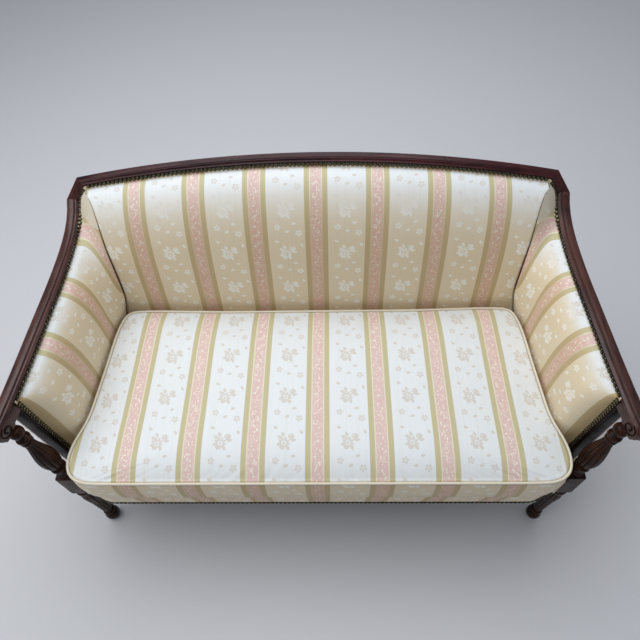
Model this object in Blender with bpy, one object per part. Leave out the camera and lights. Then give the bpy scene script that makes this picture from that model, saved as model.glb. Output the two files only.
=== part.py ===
"""Two-seat settee with a moulded mahogany show-wood frame and striped damask upholstery.

Metres, +Z up. X runs across the settee, the sitter faces -Y, and the floor is z = 0.
Places are given as a distance behind the cushion's front, and y_at() turns them into Y.
The most skilled work is in the reeded, turned balusters and front legs and in the arm
rails, which are moulded along their length and end in a rolled scroll.
"""

import math

import bmesh
import bpy
import numpy as np
from mathutils import Vector
from mathutils.geometry import tessellate_polygon

# Overall size
OVERALL_WIDTH = 1.360
OVERALL_DEPTH = 0.690
OVERALL_HEIGHT = 0.834
GAP = 0.0003

# Seat frame
RAIL_BOTTOM = 0.268
RAIL_HEIGHT = 0.062
RAIL_THICKNESS = 0.026
BAR_EASE = 0.001
FRONT_RAIL_SETBACK = 0.046
SIDE_RAIL_OFFSET = 0.010
BRACE_LEG = 0.090
BRACE_HEIGHT = 0.040
BRACE_DROP = 0.018
STRUT_WIDTH = 0.045
STRUT_HEIGHT = 0.030

# Front legs and the balusters over them
LEG_INSET = 0.058
LEG_SETBACK = 0.063
BLOCK_WIDTH = 0.042
BLOCK_HEIGHT = 0.106
BLOCK_EDGE = 0.002
REEDS = 12
REED_DEPTH = 0.0022
LEG_TOP_RADIUS = 0.0205
LEG_ANKLE_RADIUS = 0.0125
FOOT_RADIUS = 0.0205
FOOT_HEIGHT = 0.044
FOOT_PAD_RADIUS = 0.012
BALUSTER_NECK_RADIUS = 0.0125
BALUSTER_BELLY_RADIUS = 0.0240
BALUSTER_RING_RADIUS = 0.0190
BALUSTER_BALL_RADIUS = 0.0165
BALUSTER_LEAN_OUT = 0.022
BALUSTER_LEAN_BACK = 0.012

# Back legs, one piece each from the floor to the crest
STILE_WIDTH = 0.030
STILE_DEPTH = 0.028
STILE_INSET_SEAT = 0.019
BACK_LEG_KICK = 0.055
BACK_FOOT_SIZE = 0.024

# Back frame
BACK_SLOPE = 0.25
CREST_INSET = 0.037
CREST_ARCH_HEIGHT = 0.058
CREST_FACE = 0.0275
CREST_HEIGHT = 0.045
CREST_FACE_DROP = 0.020
MITRE_RUN = 0.018
BACK_RAIL_HEIGHT = 0.045
BACK_RAIL_LIFT = 0.060
CENTRE_STILE_WIDTH = 0.050

# Arms
ARM_FLARE = 0.048
ARM_JOINT_SETBACK = 0.044
ARM_DROP = 0.154
ARM_BACK_RISE = 0.045
ARM_RISE_LENGTH = 0.050
ARM_FRONT_FALL = 0.028
ARM_FALL_LENGTH = 0.300
ARM_SWEEP_POWER = 2.7
ARM_FACE_BACK = 0.030
ARM_FACE_FRONT = 0.034
ARM_THICKNESS = 0.038
SCROLL_RADIUS = 0.025
SCROLL_FLAT = 0.005
SCROLL_END_DEGREES = 338
CARVED_TO_DEGREES = 225
POST_BEHIND_BLOCK = 0.024
POST_DEPTH = 0.035
ARM_PANEL_INSET = 0.010
TACK_RAIL_LIFT = 0.050
TACK_RAIL_HEIGHT = 0.035

# Springs, deck and coverings
SPRINGS = 5
SPRING_WIRE = 0.004
SPRING_BENDS = 9
SPRING_WIDTH = 0.050
SPRING_SEAT = 0.012
CLOTH = 0.0015
WEB_LAP = 0.003
DECK_THICKNESS = 0.018
COVER_THICKNESS = 0.024
COVER_END_THICKNESS = 0.003
COVER_END_RUN = 0.075
COVER_DROP = 0.006
COVER_CROWN = 0.005
PANEL_THICKNESS = 0.003

# Crowned upholstery of the back and the arms
NAIL_STRIP = 0.004
NAIL_DROP = 0.005
BACK_PAD_FOOT = 0.052
BACK_PAD_SWELL = 0.061
BACK_SIDE_EASE = 0.10
SEAM_INSET = 0.030
ARM_PAD_FOOT = 0.040
ARM_PAD_SWELL = 0.016
ARM_PAD_NOSE = 0.045
ARM_PAD_START = 0.50
CORNER_FILL = 0.022
CORNER_FILL_RUN = 0.080
CORNER_FILL_FROM = 0.05
CORNER_FILL_TO = 0.40

# Loose seat cushion
CUSHION_EDGE = 0.100
CUSHION_CROWN = 0.030
CUSHION_BULGE = 0.006
CUSHION_CLEARANCE = 0.009
CUSHION_BACK_CLEARANCE = 0.0085
NOSE_SIDE_CLEARANCE = 0.038
NOSE_CORNER = 0.055
NOSE_DEPTH = 0.105
CUSHION_FLAT_SHARE = 0.6
CUSHION_CENTRE_SHARE = 0.385
WELT_RADIUS = 0.0032

# Values that follow from the ones above
HALF_WIDTH = OVERALL_WIDTH / 2
RAIL_TOP = RAIL_BOTTOM + RAIL_HEIGHT
LEG_X = HALF_WIDTH - LEG_INSET
BLOCK_HALF = BLOCK_WIDTH / 2
BLOCK_INNER = LEG_X - BLOCK_HALF
BLOCK_BACK = LEG_SETBACK + BLOCK_HALF
BLOCK_TOP = RAIL_BOTTOM + BLOCK_HEIGHT
FRONT_RAIL_BACK = FRONT_RAIL_SETBACK + RAIL_THICKNESS
ARM_BACK_HALF = HALF_WIDTH - ARM_FLARE
CREST_HALF = ARM_BACK_HALF - CREST_INSET
ARM_LEVEL = OVERALL_HEIGHT - ARM_DROP
NOSE_HALF_WIDTH = LEG_X - NOSE_SIDE_CLEARANCE
ARM_JOINT = OVERALL_DEPTH - ARM_JOINT_SETBACK
NAIL_LINE_Z = OVERALL_HEIGHT - CREST_FACE_DROP - NAIL_DROP
SPRING_TOP = RAIL_TOP + GAP + SPRING_WIRE
BURLAP_TOP = SPRING_TOP + GAP + CLOTH
DECK_TOP = BURLAP_TOP + GAP + DECK_THICKNESS
PAD_BOTTOM = DECK_TOP + GAP
CUSHION_BOTTOM = DECK_TOP + GAP
WELT_Z = CUSHION_BOTTOM + CUSHION_EDGE
SCROLL_FRONT = LEG_SETBACK - SCROLL_RADIUS
POST_FRONT = BLOCK_BACK + POST_BEHIND_BLOCK
POST_BACK = POST_FRONT + POST_DEPTH
SIDE_RAIL_FRONT_X = LEG_X + SIDE_RAIL_OFFSET
TURNED_SEGMENTS = 3 * REEDS
CREST_STEPS = 16
ARM_STEPS = 12
PAD_ROWS = 9
# Columns and rings stand closer where a form turns faster
TO_FRONT = 1.15
TO_NOSE = 1.3

# Moulding across the show-wood, as a share of the width and a depth under the face
MOULDING = (
    (0.00, 0.0060),
    (0.05, 0.0016),
    (0.13, 0.0000),
    (0.60, 0.0000),
    (0.66, 0.0030),
    (0.73, 0.0008),
    (0.84, 0.0008),
    (0.92, 0.0034),
    (1.00, 0.0048),
)


# Places

def y_at(distance):
    """The Y of a place this far behind the cushion's front."""
    return distance - OVERALL_DEPTH / 2


def point(x, distance, z):
    return Vector((x, y_at(distance), z))


def mix(a, b, t):
    return a + (b - a) * t


def clamp(value, low, high):
    return max(low, min(high, value))


def crest_top(x):
    return OVERALL_HEIGHT - CREST_ARCH_HEIGHT * (x / CREST_HALF) ** 2


# The crest's moulded back edge lies a little forward of this line, at the overall depth
CREST_LINE = OVERALL_DEPTH + BACK_SLOPE * MOULDING[0][1]


def crest_tilt(x):
    """How steeply the crest's top falls away at x."""
    return 2 * CREST_ARCH_HEIGHT * x / CREST_HALF ** 2


def crest_back(x):
    """Back edge of the crest, which comes forward as it drops along the raked back."""
    return CREST_LINE - BACK_SLOPE * (OVERALL_HEIGHT - crest_top(x))


def frame_front(z):
    """The raked plane at the front of the back frame, as a distance behind the front."""
    lean = BACK_SLOPE * (OVERALL_HEIGHT - CREST_FACE_DROP - z)
    return CREST_LINE - CREST_FACE - lean


STILE_SEAT = frame_front(RAIL_TOP)
STILE_OUTER = ARM_BACK_HALF - STILE_INSET_SEAT
STILE_INNER = STILE_OUTER - STILE_WIDTH
SIDE_RAIL_BACK_X = STILE_OUTER - RAIL_THICKNESS / 2


def side_rail_x(distance):
    """Centre line of the side seat rail, which runs in a little towards the back."""
    t = clamp((distance - BLOCK_BACK) / (STILE_SEAT - BLOCK_BACK), 0, 1)
    return mix(SIDE_RAIL_FRONT_X, SIDE_RAIL_BACK_X, t)


def arm_outer_edge(distance):
    """Outer edge of the arm rail, which sweeps out towards the scroll."""
    t = clamp((ARM_JOINT - distance) / (ARM_JOINT - SCROLL_FRONT), 0, 1)
    return mix(ARM_BACK_HALF, HALF_WIDTH, t ** ARM_SWEEP_POWER)


def arm_face(distance):
    t = clamp((ARM_JOINT - distance) / (ARM_JOINT - SCROLL_FRONT), 0, 1)
    return mix(ARM_FACE_BACK, ARM_FACE_FRONT, t)


def arm_inner_edge(distance):
    return arm_outer_edge(distance) - arm_face(distance)


def arm_top(distance):
    """Height of the arm rail's top: it drops from the corner, runs level, then rolls down."""
    rise = ARM_BACK_RISE * math.exp(-(ARM_JOINT - distance) / ARM_RISE_LENGTH)
    t = max(0.0, (LEG_SETBACK + ARM_FALL_LENGTH - distance) / ARM_FALL_LENGTH)
    fall = ARM_FRONT_FALL * (1 - math.cos(t * math.pi / 2))
    return ARM_LEVEL + rise - fall


def arm_under(distance):
    return arm_top(distance) - ARM_THICKNESS


# The scroll is centred over the baluster, and the rail's top runs into it as a tangent
ROLL_SLOPE = ARM_FRONT_FALL * math.pi / 2 / ARM_FALL_LENGTH
ROLL_ANGLE = math.pi / 2 + math.atan(ROLL_SLOPE)
SCROLL_TANGENT = LEG_SETBACK + SCROLL_RADIUS * math.cos(ROLL_ANGLE)
SCROLL_Z = arm_top(SCROLL_TANGENT) - SCROLL_RADIUS * math.sin(ROLL_ANGLE)
SCROLL_SEAT = SCROLL_Z - SCROLL_RADIUS + SCROLL_FLAT


def arm_plane(distance, z, inner):
    """Inner or outer plane of the arm frame, between the side rail and the arm rail."""
    t = clamp((z - RAIL_TOP) / (arm_under(distance) - RAIL_TOP), 0, 1)
    half = RAIL_THICKNESS / 2
    if inner:
        return mix(side_rail_x(distance) - half, arm_inner_edge(distance), t)
    return mix(side_rail_x(distance) + half, arm_outer_edge(distance) - ARM_PANEL_INSET, t)


def swell(v, foot, gain):
    """Thickness of a stuffed pad from its foot (v = 0) to its nailed edge (v = 1)."""
    return NAIL_STRIP + (foot + gain * v) * math.sqrt(max(0.0, 1 - v ** 4))


def back_pad_depth(u, v):
    """Thickness of the inside back, drawn in a little towards its sides (u = 1 or -1)."""
    return swell(v, BACK_PAD_FOOT, BACK_PAD_SWELL) * (1 - BACK_SIDE_EASE * abs(u) ** 3)


def back_pad_rear(z):
    return frame_front(z) - 2 * GAP - CLOTH


def arm_pad_edge(distance):
    return arm_top(distance) - MOULDING[-1][1] - NAIL_DROP


def smooth_step(value):
    t = clamp(value, 0.0, 1.0)
    return t * t * (3 - 2 * t)


def corner_fill(distance, z, v):
    """Extra stuffing of the arm over the cushion, next to the seam with the back."""
    seam_at = back_pad_rear(z) - back_pad_depth(1, v)
    near = smooth_step(1 - (seam_at - distance) / CORNER_FILL_RUN)
    over = smooth_step((v - CORNER_FILL_FROM) / (CORNER_FILL_TO - CORNER_FILL_FROM))
    return CORNER_FILL * near * over * math.sqrt(max(0.0, 1 - v ** 4))


def arm_pad_inner(distance, z, v):
    """Inner face of the arm's upholstery."""
    face = arm_plane(distance, z, True) - GAP - swell(v, ARM_PAD_FOOT, ARM_PAD_SWELL)
    return face - corner_fill(distance, z, v)


def crest_nail(x):
    """Nailed edge of the inside back under the crest."""
    return crest_top(x) - CREST_FACE_DROP - NAIL_DROP


def arm_pad_narrowest(distance):
    """Least X of the arm's upholstery beside the cushion, at rest and as it lifts."""
    found = []
    for v in (0.0, 0.1, 0.2, 0.3, 0.4, 0.5):
        z = mix(PAD_BOTTOM, arm_pad_edge(distance), v)
        found.append(arm_pad_inner(distance, z, v))
    return min(found)


def find_seam_top():
    z = ARM_LEVEL
    for _ in range(12):
        z = arm_pad_edge(back_pad_rear(z) - NAIL_STRIP)
    return z


SEAM_TOP = find_seam_top()


def seam(v):
    """Where the arm's and the back's upholstery meet, as x, distance and z."""
    z = mix(PAD_BOTTOM, SEAM_TOP, v)
    distance = back_pad_rear(z) - back_pad_depth(1, v)
    return arm_pad_inner(distance, z, v), distance, z


# Mesh helpers

def material(name, colour, roughness, metallic=0.0):
    made = bpy.data.materials.get(name)
    if made is None:
        made = bpy.data.materials.new(name)
        made.use_nodes = True
        shader = made.node_tree.nodes["Principled BSDF"]
        shader.inputs["Base Color"].default_value = (*colour, 1)
        shader.inputs["Roughness"].default_value = roughness
        shader.inputs["Metallic"].default_value = metallic
    return made


def mahogany():
    return material("mahogany", (0.085, 0.030, 0.018), 0.28)


def frame_wood():
    return material("frame_wood", (0.42, 0.30, 0.18), 0.7)


def damask():
    return material("damask", (0.72, 0.62, 0.42), 0.6)


def welt_cord():
    return material("welt_cord", (0.80, 0.74, 0.60), 0.6)


def jute():
    return material("jute", (0.45, 0.36, 0.22), 0.9)


def black_cambric():
    return material("cambric", (0.03, 0.03, 0.03), 0.9)


def spring_steel():
    return material("spring_steel", (0.35, 0.35, 0.36), 0.35, 1.0)


def finish_object(name, bm, look, smooth_angle=None):
    bmesh.ops.recalc_face_normals(bm, faces=bm.faces[:])
    if bm.calc_volume(signed=True) < 0:
        bmesh.ops.reverse_faces(bm, faces=bm.faces[:])
    mesh = bpy.data.meshes.new(name)
    bm.to_mesh(mesh)
    bm.free()
    mesh.materials.append(look)
    if smooth_angle is not None:
        mesh.shade_smooth()
        mesh.set_sharp_from_angle(angle=math.radians(smooth_angle))
    made = bpy.data.objects.new(name, mesh)
    bpy.context.collection.objects.link(made)
    return made


def loft(name, rings, look, closed=False, smooth_angle=None):
    """A skin over rings of equal length, capped at both ends unless it closes on itself."""
    bm = bmesh.new()
    rows = [[bm.verts.new(place) for place in ring] for ring in rings]
    pairs = list(zip(rows, rows[1:]))
    if closed:
        pairs.append((rows[-1], rows[0]))
    for low, high in pairs:
        for i in range(len(low)):
            j = (i + 1) % len(low)
            bm.faces.new((low[i], low[j], high[j], high[i]))
    if not closed:
        bm.faces.new(rows[0])
        bm.faces.new(rows[-1])
    return finish_object(name, bm, look, smooth_angle)


def pad(name, front, back, look, smooth_angle=None):
    """A closed body between two grids of points of the same size."""
    bm = bmesh.new()
    faces_of = []
    for grid in (front, back):
        faces_of.append([[bm.verts.new(place) for place in row] for row in grid])
    rows = len(front)
    columns = len(front[0])
    for grid in faces_of:
        for i in range(rows - 1):
            for j in range(columns - 1):
                bm.faces.new((grid[i][j], grid[i][j + 1], grid[i + 1][j + 1], grid[i + 1][j]))
    near, far = faces_of
    for j in range(columns - 1):
        for i in (0, rows - 1):
            bm.faces.new((near[i][j], near[i][j + 1], far[i][j + 1], far[i][j]))
    for i in range(rows - 1):
        for j in (0, columns - 1):
            bm.faces.new((near[i][j], near[i + 1][j], far[i + 1][j], far[i][j]))
    return finish_object(name, bm, look, smooth_angle)


def prism(name, outline, low, high, look):
    """An upright prism over an outline of (x, distance) points."""
    bm = bmesh.new()
    flat = [Vector((x, d, 0)) for x, d in outline]
    bottom = [bm.verts.new(point(x, d, low)) for x, d in outline]
    top = [bm.verts.new(point(x, d, high)) for x, d in outline]
    for i in range(len(outline)):
        j = (i + 1) % len(outline)
        bm.faces.new((bottom[i], bottom[j], top[j], top[i]))
    for a, b, c in tessellate_polygon([flat]):
        bm.faces.new((bottom[a], bottom[b], bottom[c]))
        bm.faces.new((top[a], top[b], top[c]))
    return finish_object(name, bm, look)


def bar(name, outline, low, high, look):
    """A four-sided bar with eased edges over an outline of (x, distance) points."""
    rings = [[point(x, d, z) for x, d in outline] for z in (low, high)]
    made = loft(name, rings, look)
    edge = made.modifiers.new("Eased edges", "BEVEL")
    edge.width = BAR_EASE
    edge.segments = 1
    edge.limit_method = "ANGLE"


def sides():
    return (("left", -1), ("right", 1))


# Show-wood

def crest_ring(x):
    """Plane section of the crest rail at x; the face runs in towards the mitres at the ends."""
    down = Vector((0, -BACK_SLOPE, -1))
    crown = MOULDING[2][0]
    camber = Vector((1, -BACK_SLOPE * crest_tilt(x), -crest_tilt(x)))
    inward = camber * (-MITRE_RUN * x / CREST_HALF)
    inward.y -= CREST_FACE - BACK_SLOPE * CREST_FACE_DROP
    corner = point(x, crest_back(x), crest_top(x))
    ring = []
    for share, depth in MOULDING:
        drop = CREST_FACE_DROP * max(0.0, share - crown) / (1 - crown)
        ring.append(corner + inward * share + down * (drop + depth))
    ring.append(corner + inward + down * CREST_HEIGHT)
    ring.append(corner + down * CREST_HEIGHT)
    return ring


def make_crest_rail():
    rings = []
    for i in range(CREST_STEPS + 1):
        rings.append(crest_ring(mix(-CREST_HALF, CREST_HALF, i / CREST_STEPS)))
    loft("crest_rail", rings, mahogany(), smooth_angle=40)


def make_corner_block(label, side):
    """The canted piece between the crest's mitre and the back end of the arm rail."""
    mitre = crest_ring(CREST_HALF)
    normal = (mitre[-2] - mitre[0]).cross(mitre[-1] - mitre[0]).normalized()
    if normal.x < 0:
        normal = -normal
    upper = [place + normal * GAP for place in mitre]
    top = arm_top(ARM_JOINT)
    outer = arm_outer_edge(ARM_JOINT)
    inner = arm_inner_edge(ARM_JOINT)
    at = ARM_JOINT + GAP
    lower = [point(mix(outer, inner, share), at, top - depth) for share, depth in MOULDING]
    lower.append(point(inner, at, top - ARM_THICKNESS))
    lower.append(point(outer, at, top - ARM_THICKNESS))
    rings = [[Vector((side * p.x, p.y, p.z)) for p in ring[::side]] for ring in (upper, lower)]
    loft(f"corner_block_{label}", rings, mahogany(), smooth_angle=40)


def arm_station(i):
    """Shared places along the arm, from the upright's front to the joint at the back."""
    return mix(POST_FRONT, ARM_JOINT, i / ARM_STEPS)


def arm_silhouette():
    """Side outline of the arm rail as (distance, z, normal, share of the moulding)."""
    outline = []
    steps = 18
    for i in range(steps + 1):
        at = mix(ARM_JOINT, SCROLL_TANGENT, (i / steps) ** TO_FRONT)
        slope = (arm_top(at + 0.001) - arm_top(at - 0.001)) / 0.002 if i else 0.0
        length = math.hypot(slope, 1.0)
        outline.append((at, arm_top(at), (-slope / length, 1.0 / length), 1.0))
    arc_steps = 13
    end_angle = math.radians(SCROLL_END_DEGREES)
    carved_to = math.radians(CARVED_TO_DEGREES)
    for i in range(1, arc_steps + 1):
        angle = mix(ROLL_ANGLE, end_angle, i / arc_steps)
        normal = (math.cos(angle), math.sin(angle))
        at = LEG_SETBACK + SCROLL_RADIUS * normal[0]
        z = max(SCROLL_Z + SCROLL_RADIUS * normal[1], SCROLL_SEAT)
        outline.append((at, z, normal, 1.0 if angle < carved_to else 0.0))
    for i in range(ARM_STEPS + 1):
        at = arm_station(i)
        outline.append((at, arm_under(at), (0.0, -1.0), 0.0))
    return outline


def make_arm_rail(label, side):
    outline = arm_silhouette()
    bm = bmesh.new()
    loops = []
    for share, depth in MOULDING:
        loop = []
        for at, z, normal, weight in outline:
            x = arm_outer_edge(at) - share * arm_face(at)
            sunk = depth * weight
            place = point(side * x, at - normal[0] * sunk, z - normal[1] * sunk)
            loop.append(bm.verts.new(place))
        loops.append(loop)
    for low, high in zip(loops, loops[1:]):
        for i in range(len(low)):
            j = (i + 1) % len(low)
            bm.faces.new((low[i], low[j], high[j], high[i]))
    flat = [Vector((at, z, 0)) for at, z, _, _ in outline]
    for a, b, c in tessellate_polygon([flat]):
        bm.faces.new((loops[0][a], loops[0][b], loops[0][c]))
        bm.faces.new((loops[-1][a], loops[-1][b], loops[-1][c]))
    finish_object(f"arm_rail_{label}", bm, mahogany(), smooth_angle=35)


# Turned work

def round_ring(cx, distance, z, radius, reed_depth=0.0):
    """A ring of the turned section; reeds are lobes that rise from narrow valleys."""
    ring = []
    for i in range(TURNED_SEGMENTS):
        angle = math.radians(5) + 2 * math.pi * i / TURNED_SEGMENTS
        r = radius - (reed_depth if i % 3 == 0 else 0.0)
        ring.append(point(cx + r * math.cos(angle), distance + r * math.sin(angle), z))
    return ring


def square_ring(cx, distance, z, half):
    ring = []
    for i in range(TURNED_SEGMENTS):
        angle = math.radians(5) + 2 * math.pi * i / TURNED_SEGMENTS
        reach = half / max(abs(math.cos(angle)), abs(math.sin(angle)))
        ring.append(point(cx + reach * math.cos(angle), distance + reach * math.sin(angle), z))
    return ring


def make_front_leg(label, side):
    """Square block that takes the rails, and under it the reeded taper and bulb foot."""
    x = side * LEG_X
    span = RAIL_BOTTOM - FOOT_HEIGHT
    neck = 0.93 * LEG_TOP_RADIUS
    turning = [
        (0.0, FOOT_PAD_RADIUS, 0),
        (0.10 * FOOT_HEIGHT, 0.86 * FOOT_RADIUS, 0),
        (0.42 * FOOT_HEIGHT, FOOT_RADIUS, 0),
        (0.78 * FOOT_HEIGHT, 0.88 * FOOT_RADIUS, 0),
        (FOOT_HEIGHT, LEG_ANKLE_RADIUS, 0),
        (FOOT_HEIGHT + 0.03 * span, 1.32 * LEG_ANKLE_RADIUS, 0),
        (FOOT_HEIGHT + 0.06 * span, 1.32 * LEG_ANKLE_RADIUS, 0),
        (FOOT_HEIGHT + 0.08 * span, LEG_ANKLE_RADIUS, 0),
        (FOOT_HEIGHT + 0.11 * span, 1.04 * LEG_ANKLE_RADIUS, REED_DEPTH),
        (FOOT_HEIGHT + 0.48 * span, 0.82 * LEG_TOP_RADIUS, REED_DEPTH),
        (FOOT_HEIGHT + 0.82 * span, LEG_TOP_RADIUS, REED_DEPTH),
        (FOOT_HEIGHT + 0.87 * span, neck, 0),
        (FOOT_HEIGHT + 0.90 * span, 1.08 * LEG_TOP_RADIUS, 0),
        (FOOT_HEIGHT + 0.95 * span, 1.08 * LEG_TOP_RADIUS, 0),
        (RAIL_BOTTOM - 0.005, neck, 0),
        (RAIL_BOTTOM, neck, 0),
    ]
    rings = [round_ring(x, LEG_SETBACK, z, r, reed) for z, r, reed in turning]
    rings.append(square_ring(x, LEG_SETBACK, RAIL_BOTTOM, BLOCK_HALF))
    rings.append(square_ring(x, LEG_SETBACK, BLOCK_TOP - BLOCK_EDGE, BLOCK_HALF))
    rings.append(square_ring(x, LEG_SETBACK, BLOCK_TOP, BLOCK_HALF - BLOCK_EDGE))
    loft(f"front_leg_{label}", rings, mahogany(), smooth_angle=50)


def leaning_ring(side, share, z, radius, reed):
    """A ring of the baluster, square to its leaning axis except at the two ends."""
    x = side * (LEG_X + BALUSTER_LEAN_OUT * share)
    distance = LEG_SETBACK + BALUSTER_LEAN_BACK * share
    ring = round_ring(x, distance, z, radius, reed)
    span = SCROLL_SEAT - BLOCK_TOP
    if 0.0 < share < 1.0:
        for place in ring:
            out = side * (place.x - x) * BALUSTER_LEAN_OUT
            back = (place.y - y_at(distance)) * BALUSTER_LEAN_BACK
            place.z -= (out + back) / span
    return ring


def make_baluster(label, side):
    """Reeded vase between the leg block and the scroll, with a ball and double collar above."""
    low = BLOCK_TOP + GAP
    high = SCROLL_SEAT - GAP
    span = high - low
    neck = BALUSTER_NECK_RADIUS
    belly = BALUSTER_BELLY_RADIUS
    ring = BALUSTER_RING_RADIUS
    ball = BALUSTER_BALL_RADIUS
    turning = [
        (0.000, 0.88 * ring, 0),
        (0.030, 0.88 * ring, 0),
        (0.060, 0.74 * ring, 0),
        (0.110, 0.78 * ring, 0),
        (0.130, ring, 0),
        (0.170, ring, 0),
        (0.190, 0.82 * ring, 0),
        (0.210, 0.92 * ring, REED_DEPTH),
        (0.280, 0.93 * belly, REED_DEPTH),
        (0.360, belly, REED_DEPTH),
        (0.450, 0.95 * belly, REED_DEPTH),
        (0.560, 0.78 * belly, REED_DEPTH),
        (0.670, 1.08 * neck, REED_DEPTH),
        (0.720, neck, REED_DEPTH),
        (0.735, neck, 0),
        (0.750, 1.15 * neck, 0),
        (0.775, 1.15 * neck, 0),
        (0.790, neck, 0),
        (0.810, 1.28 * neck, 0),
        (0.840, 1.28 * neck, 0),
        (0.860, neck, 0),
        (0.890, 0.92 * ball, 0),
        (0.930, ball, 0),
        (0.970, 0.86 * ball, 0),
        (1.000, 0.66 * ball, 0),
    ]
    rings = []
    for share, radius, reed in turning:
        rings.append(leaning_ring(side, share, low + share * span, radius, reed))
    loft(f"baluster_{label}", rings, mahogany(), smooth_angle=50)


# Seat frame

def make_front_seat_rail():
    half = BLOCK_INNER - GAP
    outline = (
        (-half, FRONT_RAIL_SETBACK),
        (half, FRONT_RAIL_SETBACK),
        (half, FRONT_RAIL_BACK),
        (-half, FRONT_RAIL_BACK),
    )
    bar("front_seat_rail", outline, RAIL_BOTTOM, RAIL_TOP, frame_wood())


def make_back_seat_rail():
    half = STILE_INNER - GAP
    back = STILE_SEAT + RAIL_THICKNESS
    outline = ((-half, STILE_SEAT), (half, STILE_SEAT), (half, back), (-half, back))
    bar("back_seat_rail", outline, RAIL_BOTTOM, RAIL_TOP, frame_wood())


def make_side_seat_rail(label, side):
    half = RAIL_THICKNESS / 2
    front = BLOCK_BACK + GAP
    back = STILE_SEAT - GAP
    outline = (
        (side * (side_rail_x(front) - half), front),
        (side * (side_rail_x(front) + half), front),
        (side * (side_rail_x(back) + half), back),
        (side * (side_rail_x(back) - half), back),
    )
    bar(f"side_seat_rail_{label}", outline, RAIL_BOTTOM, RAIL_TOP, frame_wood())


def side_rail_inner(distance):
    return side_rail_x(distance) - RAIL_THICKNESS / 2 - GAP


def make_corner_braces():
    low = RAIL_TOP - BRACE_DROP - BRACE_HEIGHT
    for label, side in sides():
        front = FRONT_RAIL_BACK + GAP
        notch_x = BLOCK_INNER - GAP
        notch_back = BLOCK_BACK + GAP
        far = notch_back + BRACE_LEG
        outline = (
            (side * notch_x, front),
            (side * (notch_x - BRACE_LEG), front),
            (side * side_rail_inner(far), far),
            (side * side_rail_inner(notch_back), notch_back),
            (side * notch_x, notch_back),
        )
        prism(f"corner_brace_front_{label}", outline, low, low + BRACE_HEIGHT, frame_wood())
        back = STILE_SEAT - GAP
        near = back - BRACE_LEG
        outline = (
            (side * side_rail_inner(back), back),
            (side * (side_rail_inner(back) - BRACE_LEG), back),
            (side * side_rail_inner(near), near),
        )
        prism(f"corner_brace_back_{label}", outline, low, low + BRACE_HEIGHT, frame_wood())


def make_seat_strut():
    half = STRUT_WIDTH / 2
    front = FRONT_RAIL_BACK + GAP
    back = STILE_SEAT - GAP
    outline = ((-half, front), (half, front), (half, back), (-half, back))
    bar("seat_strut", outline, RAIL_BOTTOM, RAIL_BOTTOM + STRUT_HEIGHT, frame_wood())


# Back frame, whose stiles lean in to stand between the arm rails

STILE_TOP_OUTER = arm_inner_edge(ARM_JOINT) - GAP
STILE_TOP_INNER = STILE_TOP_OUTER - STILE_WIDTH
STILE_UPRIGHT_Z = ARM_LEVEL - ARM_THICKNESS - NAIL_DROP


def stile_top(x):
    """Sloping top of the stile, under the crest at its inner side and the corner outside."""
    inner = crest_top(STILE_TOP_INNER) - CREST_HEIGHT - 2 * GAP
    outer = arm_under(ARM_JOINT) - GAP
    return mix(inner, outer, clamp((x - STILE_TOP_INNER) / STILE_WIDTH, 0, 1))


def stile_section(z, inner, outer, front, depth):
    return [
        point(inner, front, z),
        point(outer, front, z),
        point(outer, front + depth, z),
        point(inner, front + depth, z),
    ]


def make_back_leg(label, side):
    """Sabre leg and raked stile in one piece, straight where the seat rails meet it."""
    rings = []
    feet = ((0.0, 1.0), (0.25, 0.62), (0.5, 0.32), (0.75, 0.10), (1.0, 0.0))
    for share, kick in feet:
        z = share * RAIL_BOTTOM
        width = mix(BACK_FOOT_SIZE, STILE_WIDTH, share)
        depth = mix(BACK_FOOT_SIZE, STILE_DEPTH, share)
        centre = (STILE_INNER + STILE_OUTER) / 2
        front = STILE_SEAT + STILE_DEPTH / 2 - depth / 2 + BACK_LEG_KICK * kick
        rings.append(stile_section(z, centre - width / 2, centre + width / 2, front, depth))
    rings.append(stile_section(RAIL_TOP, STILE_INNER, STILE_OUTER, STILE_SEAT, STILE_DEPTH))
    z = STILE_UPRIGHT_Z
    rings.append(stile_section(z, STILE_TOP_INNER, STILE_TOP_OUTER, frame_front(z), STILE_DEPTH))
    inner_z = stile_top(STILE_TOP_INNER)
    outer_z = stile_top(STILE_TOP_OUTER)
    rings.append([
        point(STILE_TOP_INNER, frame_front(inner_z), inner_z),
        point(STILE_TOP_OUTER, frame_front(outer_z), outer_z),
        point(STILE_TOP_OUTER, frame_front(outer_z) + STILE_DEPTH, outer_z),
        point(STILE_TOP_INNER, frame_front(inner_z) + STILE_DEPTH, inner_z),
    ])
    rings = [[Vector((side * p.x, p.y, p.z)) for p in ring] for ring in rings]
    loft(f"back_leg_{label}", rings, mahogany())


def frame_bar(name, half, low, high, depth):
    """A cross rail of the back frame, raked as the stiles are."""
    rings = []
    for x in (-half, half):
        rings.append([
            point(x, frame_front(low), low),
            point(x, frame_front(high), high),
            point(x, frame_front(high) + depth, high),
            point(x, frame_front(low) + depth, low),
        ])
    loft(name, rings, frame_wood())


def stile_inner_at(z):
    """Inner face of the stile at a height over the seat rail."""
    t = clamp((z - RAIL_TOP) / (STILE_UPRIGHT_Z - RAIL_TOP), 0, 1)
    return mix(STILE_INNER, STILE_TOP_INNER, t)


def make_back_bottom_rail():
    low = RAIL_TOP + BACK_RAIL_LIFT
    high = low + BACK_RAIL_HEIGHT
    half = min(stile_inner_at(low), stile_inner_at(high)) - GAP
    frame_bar("back_bottom_rail", half, low, high, RAIL_THICKNESS)


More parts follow.
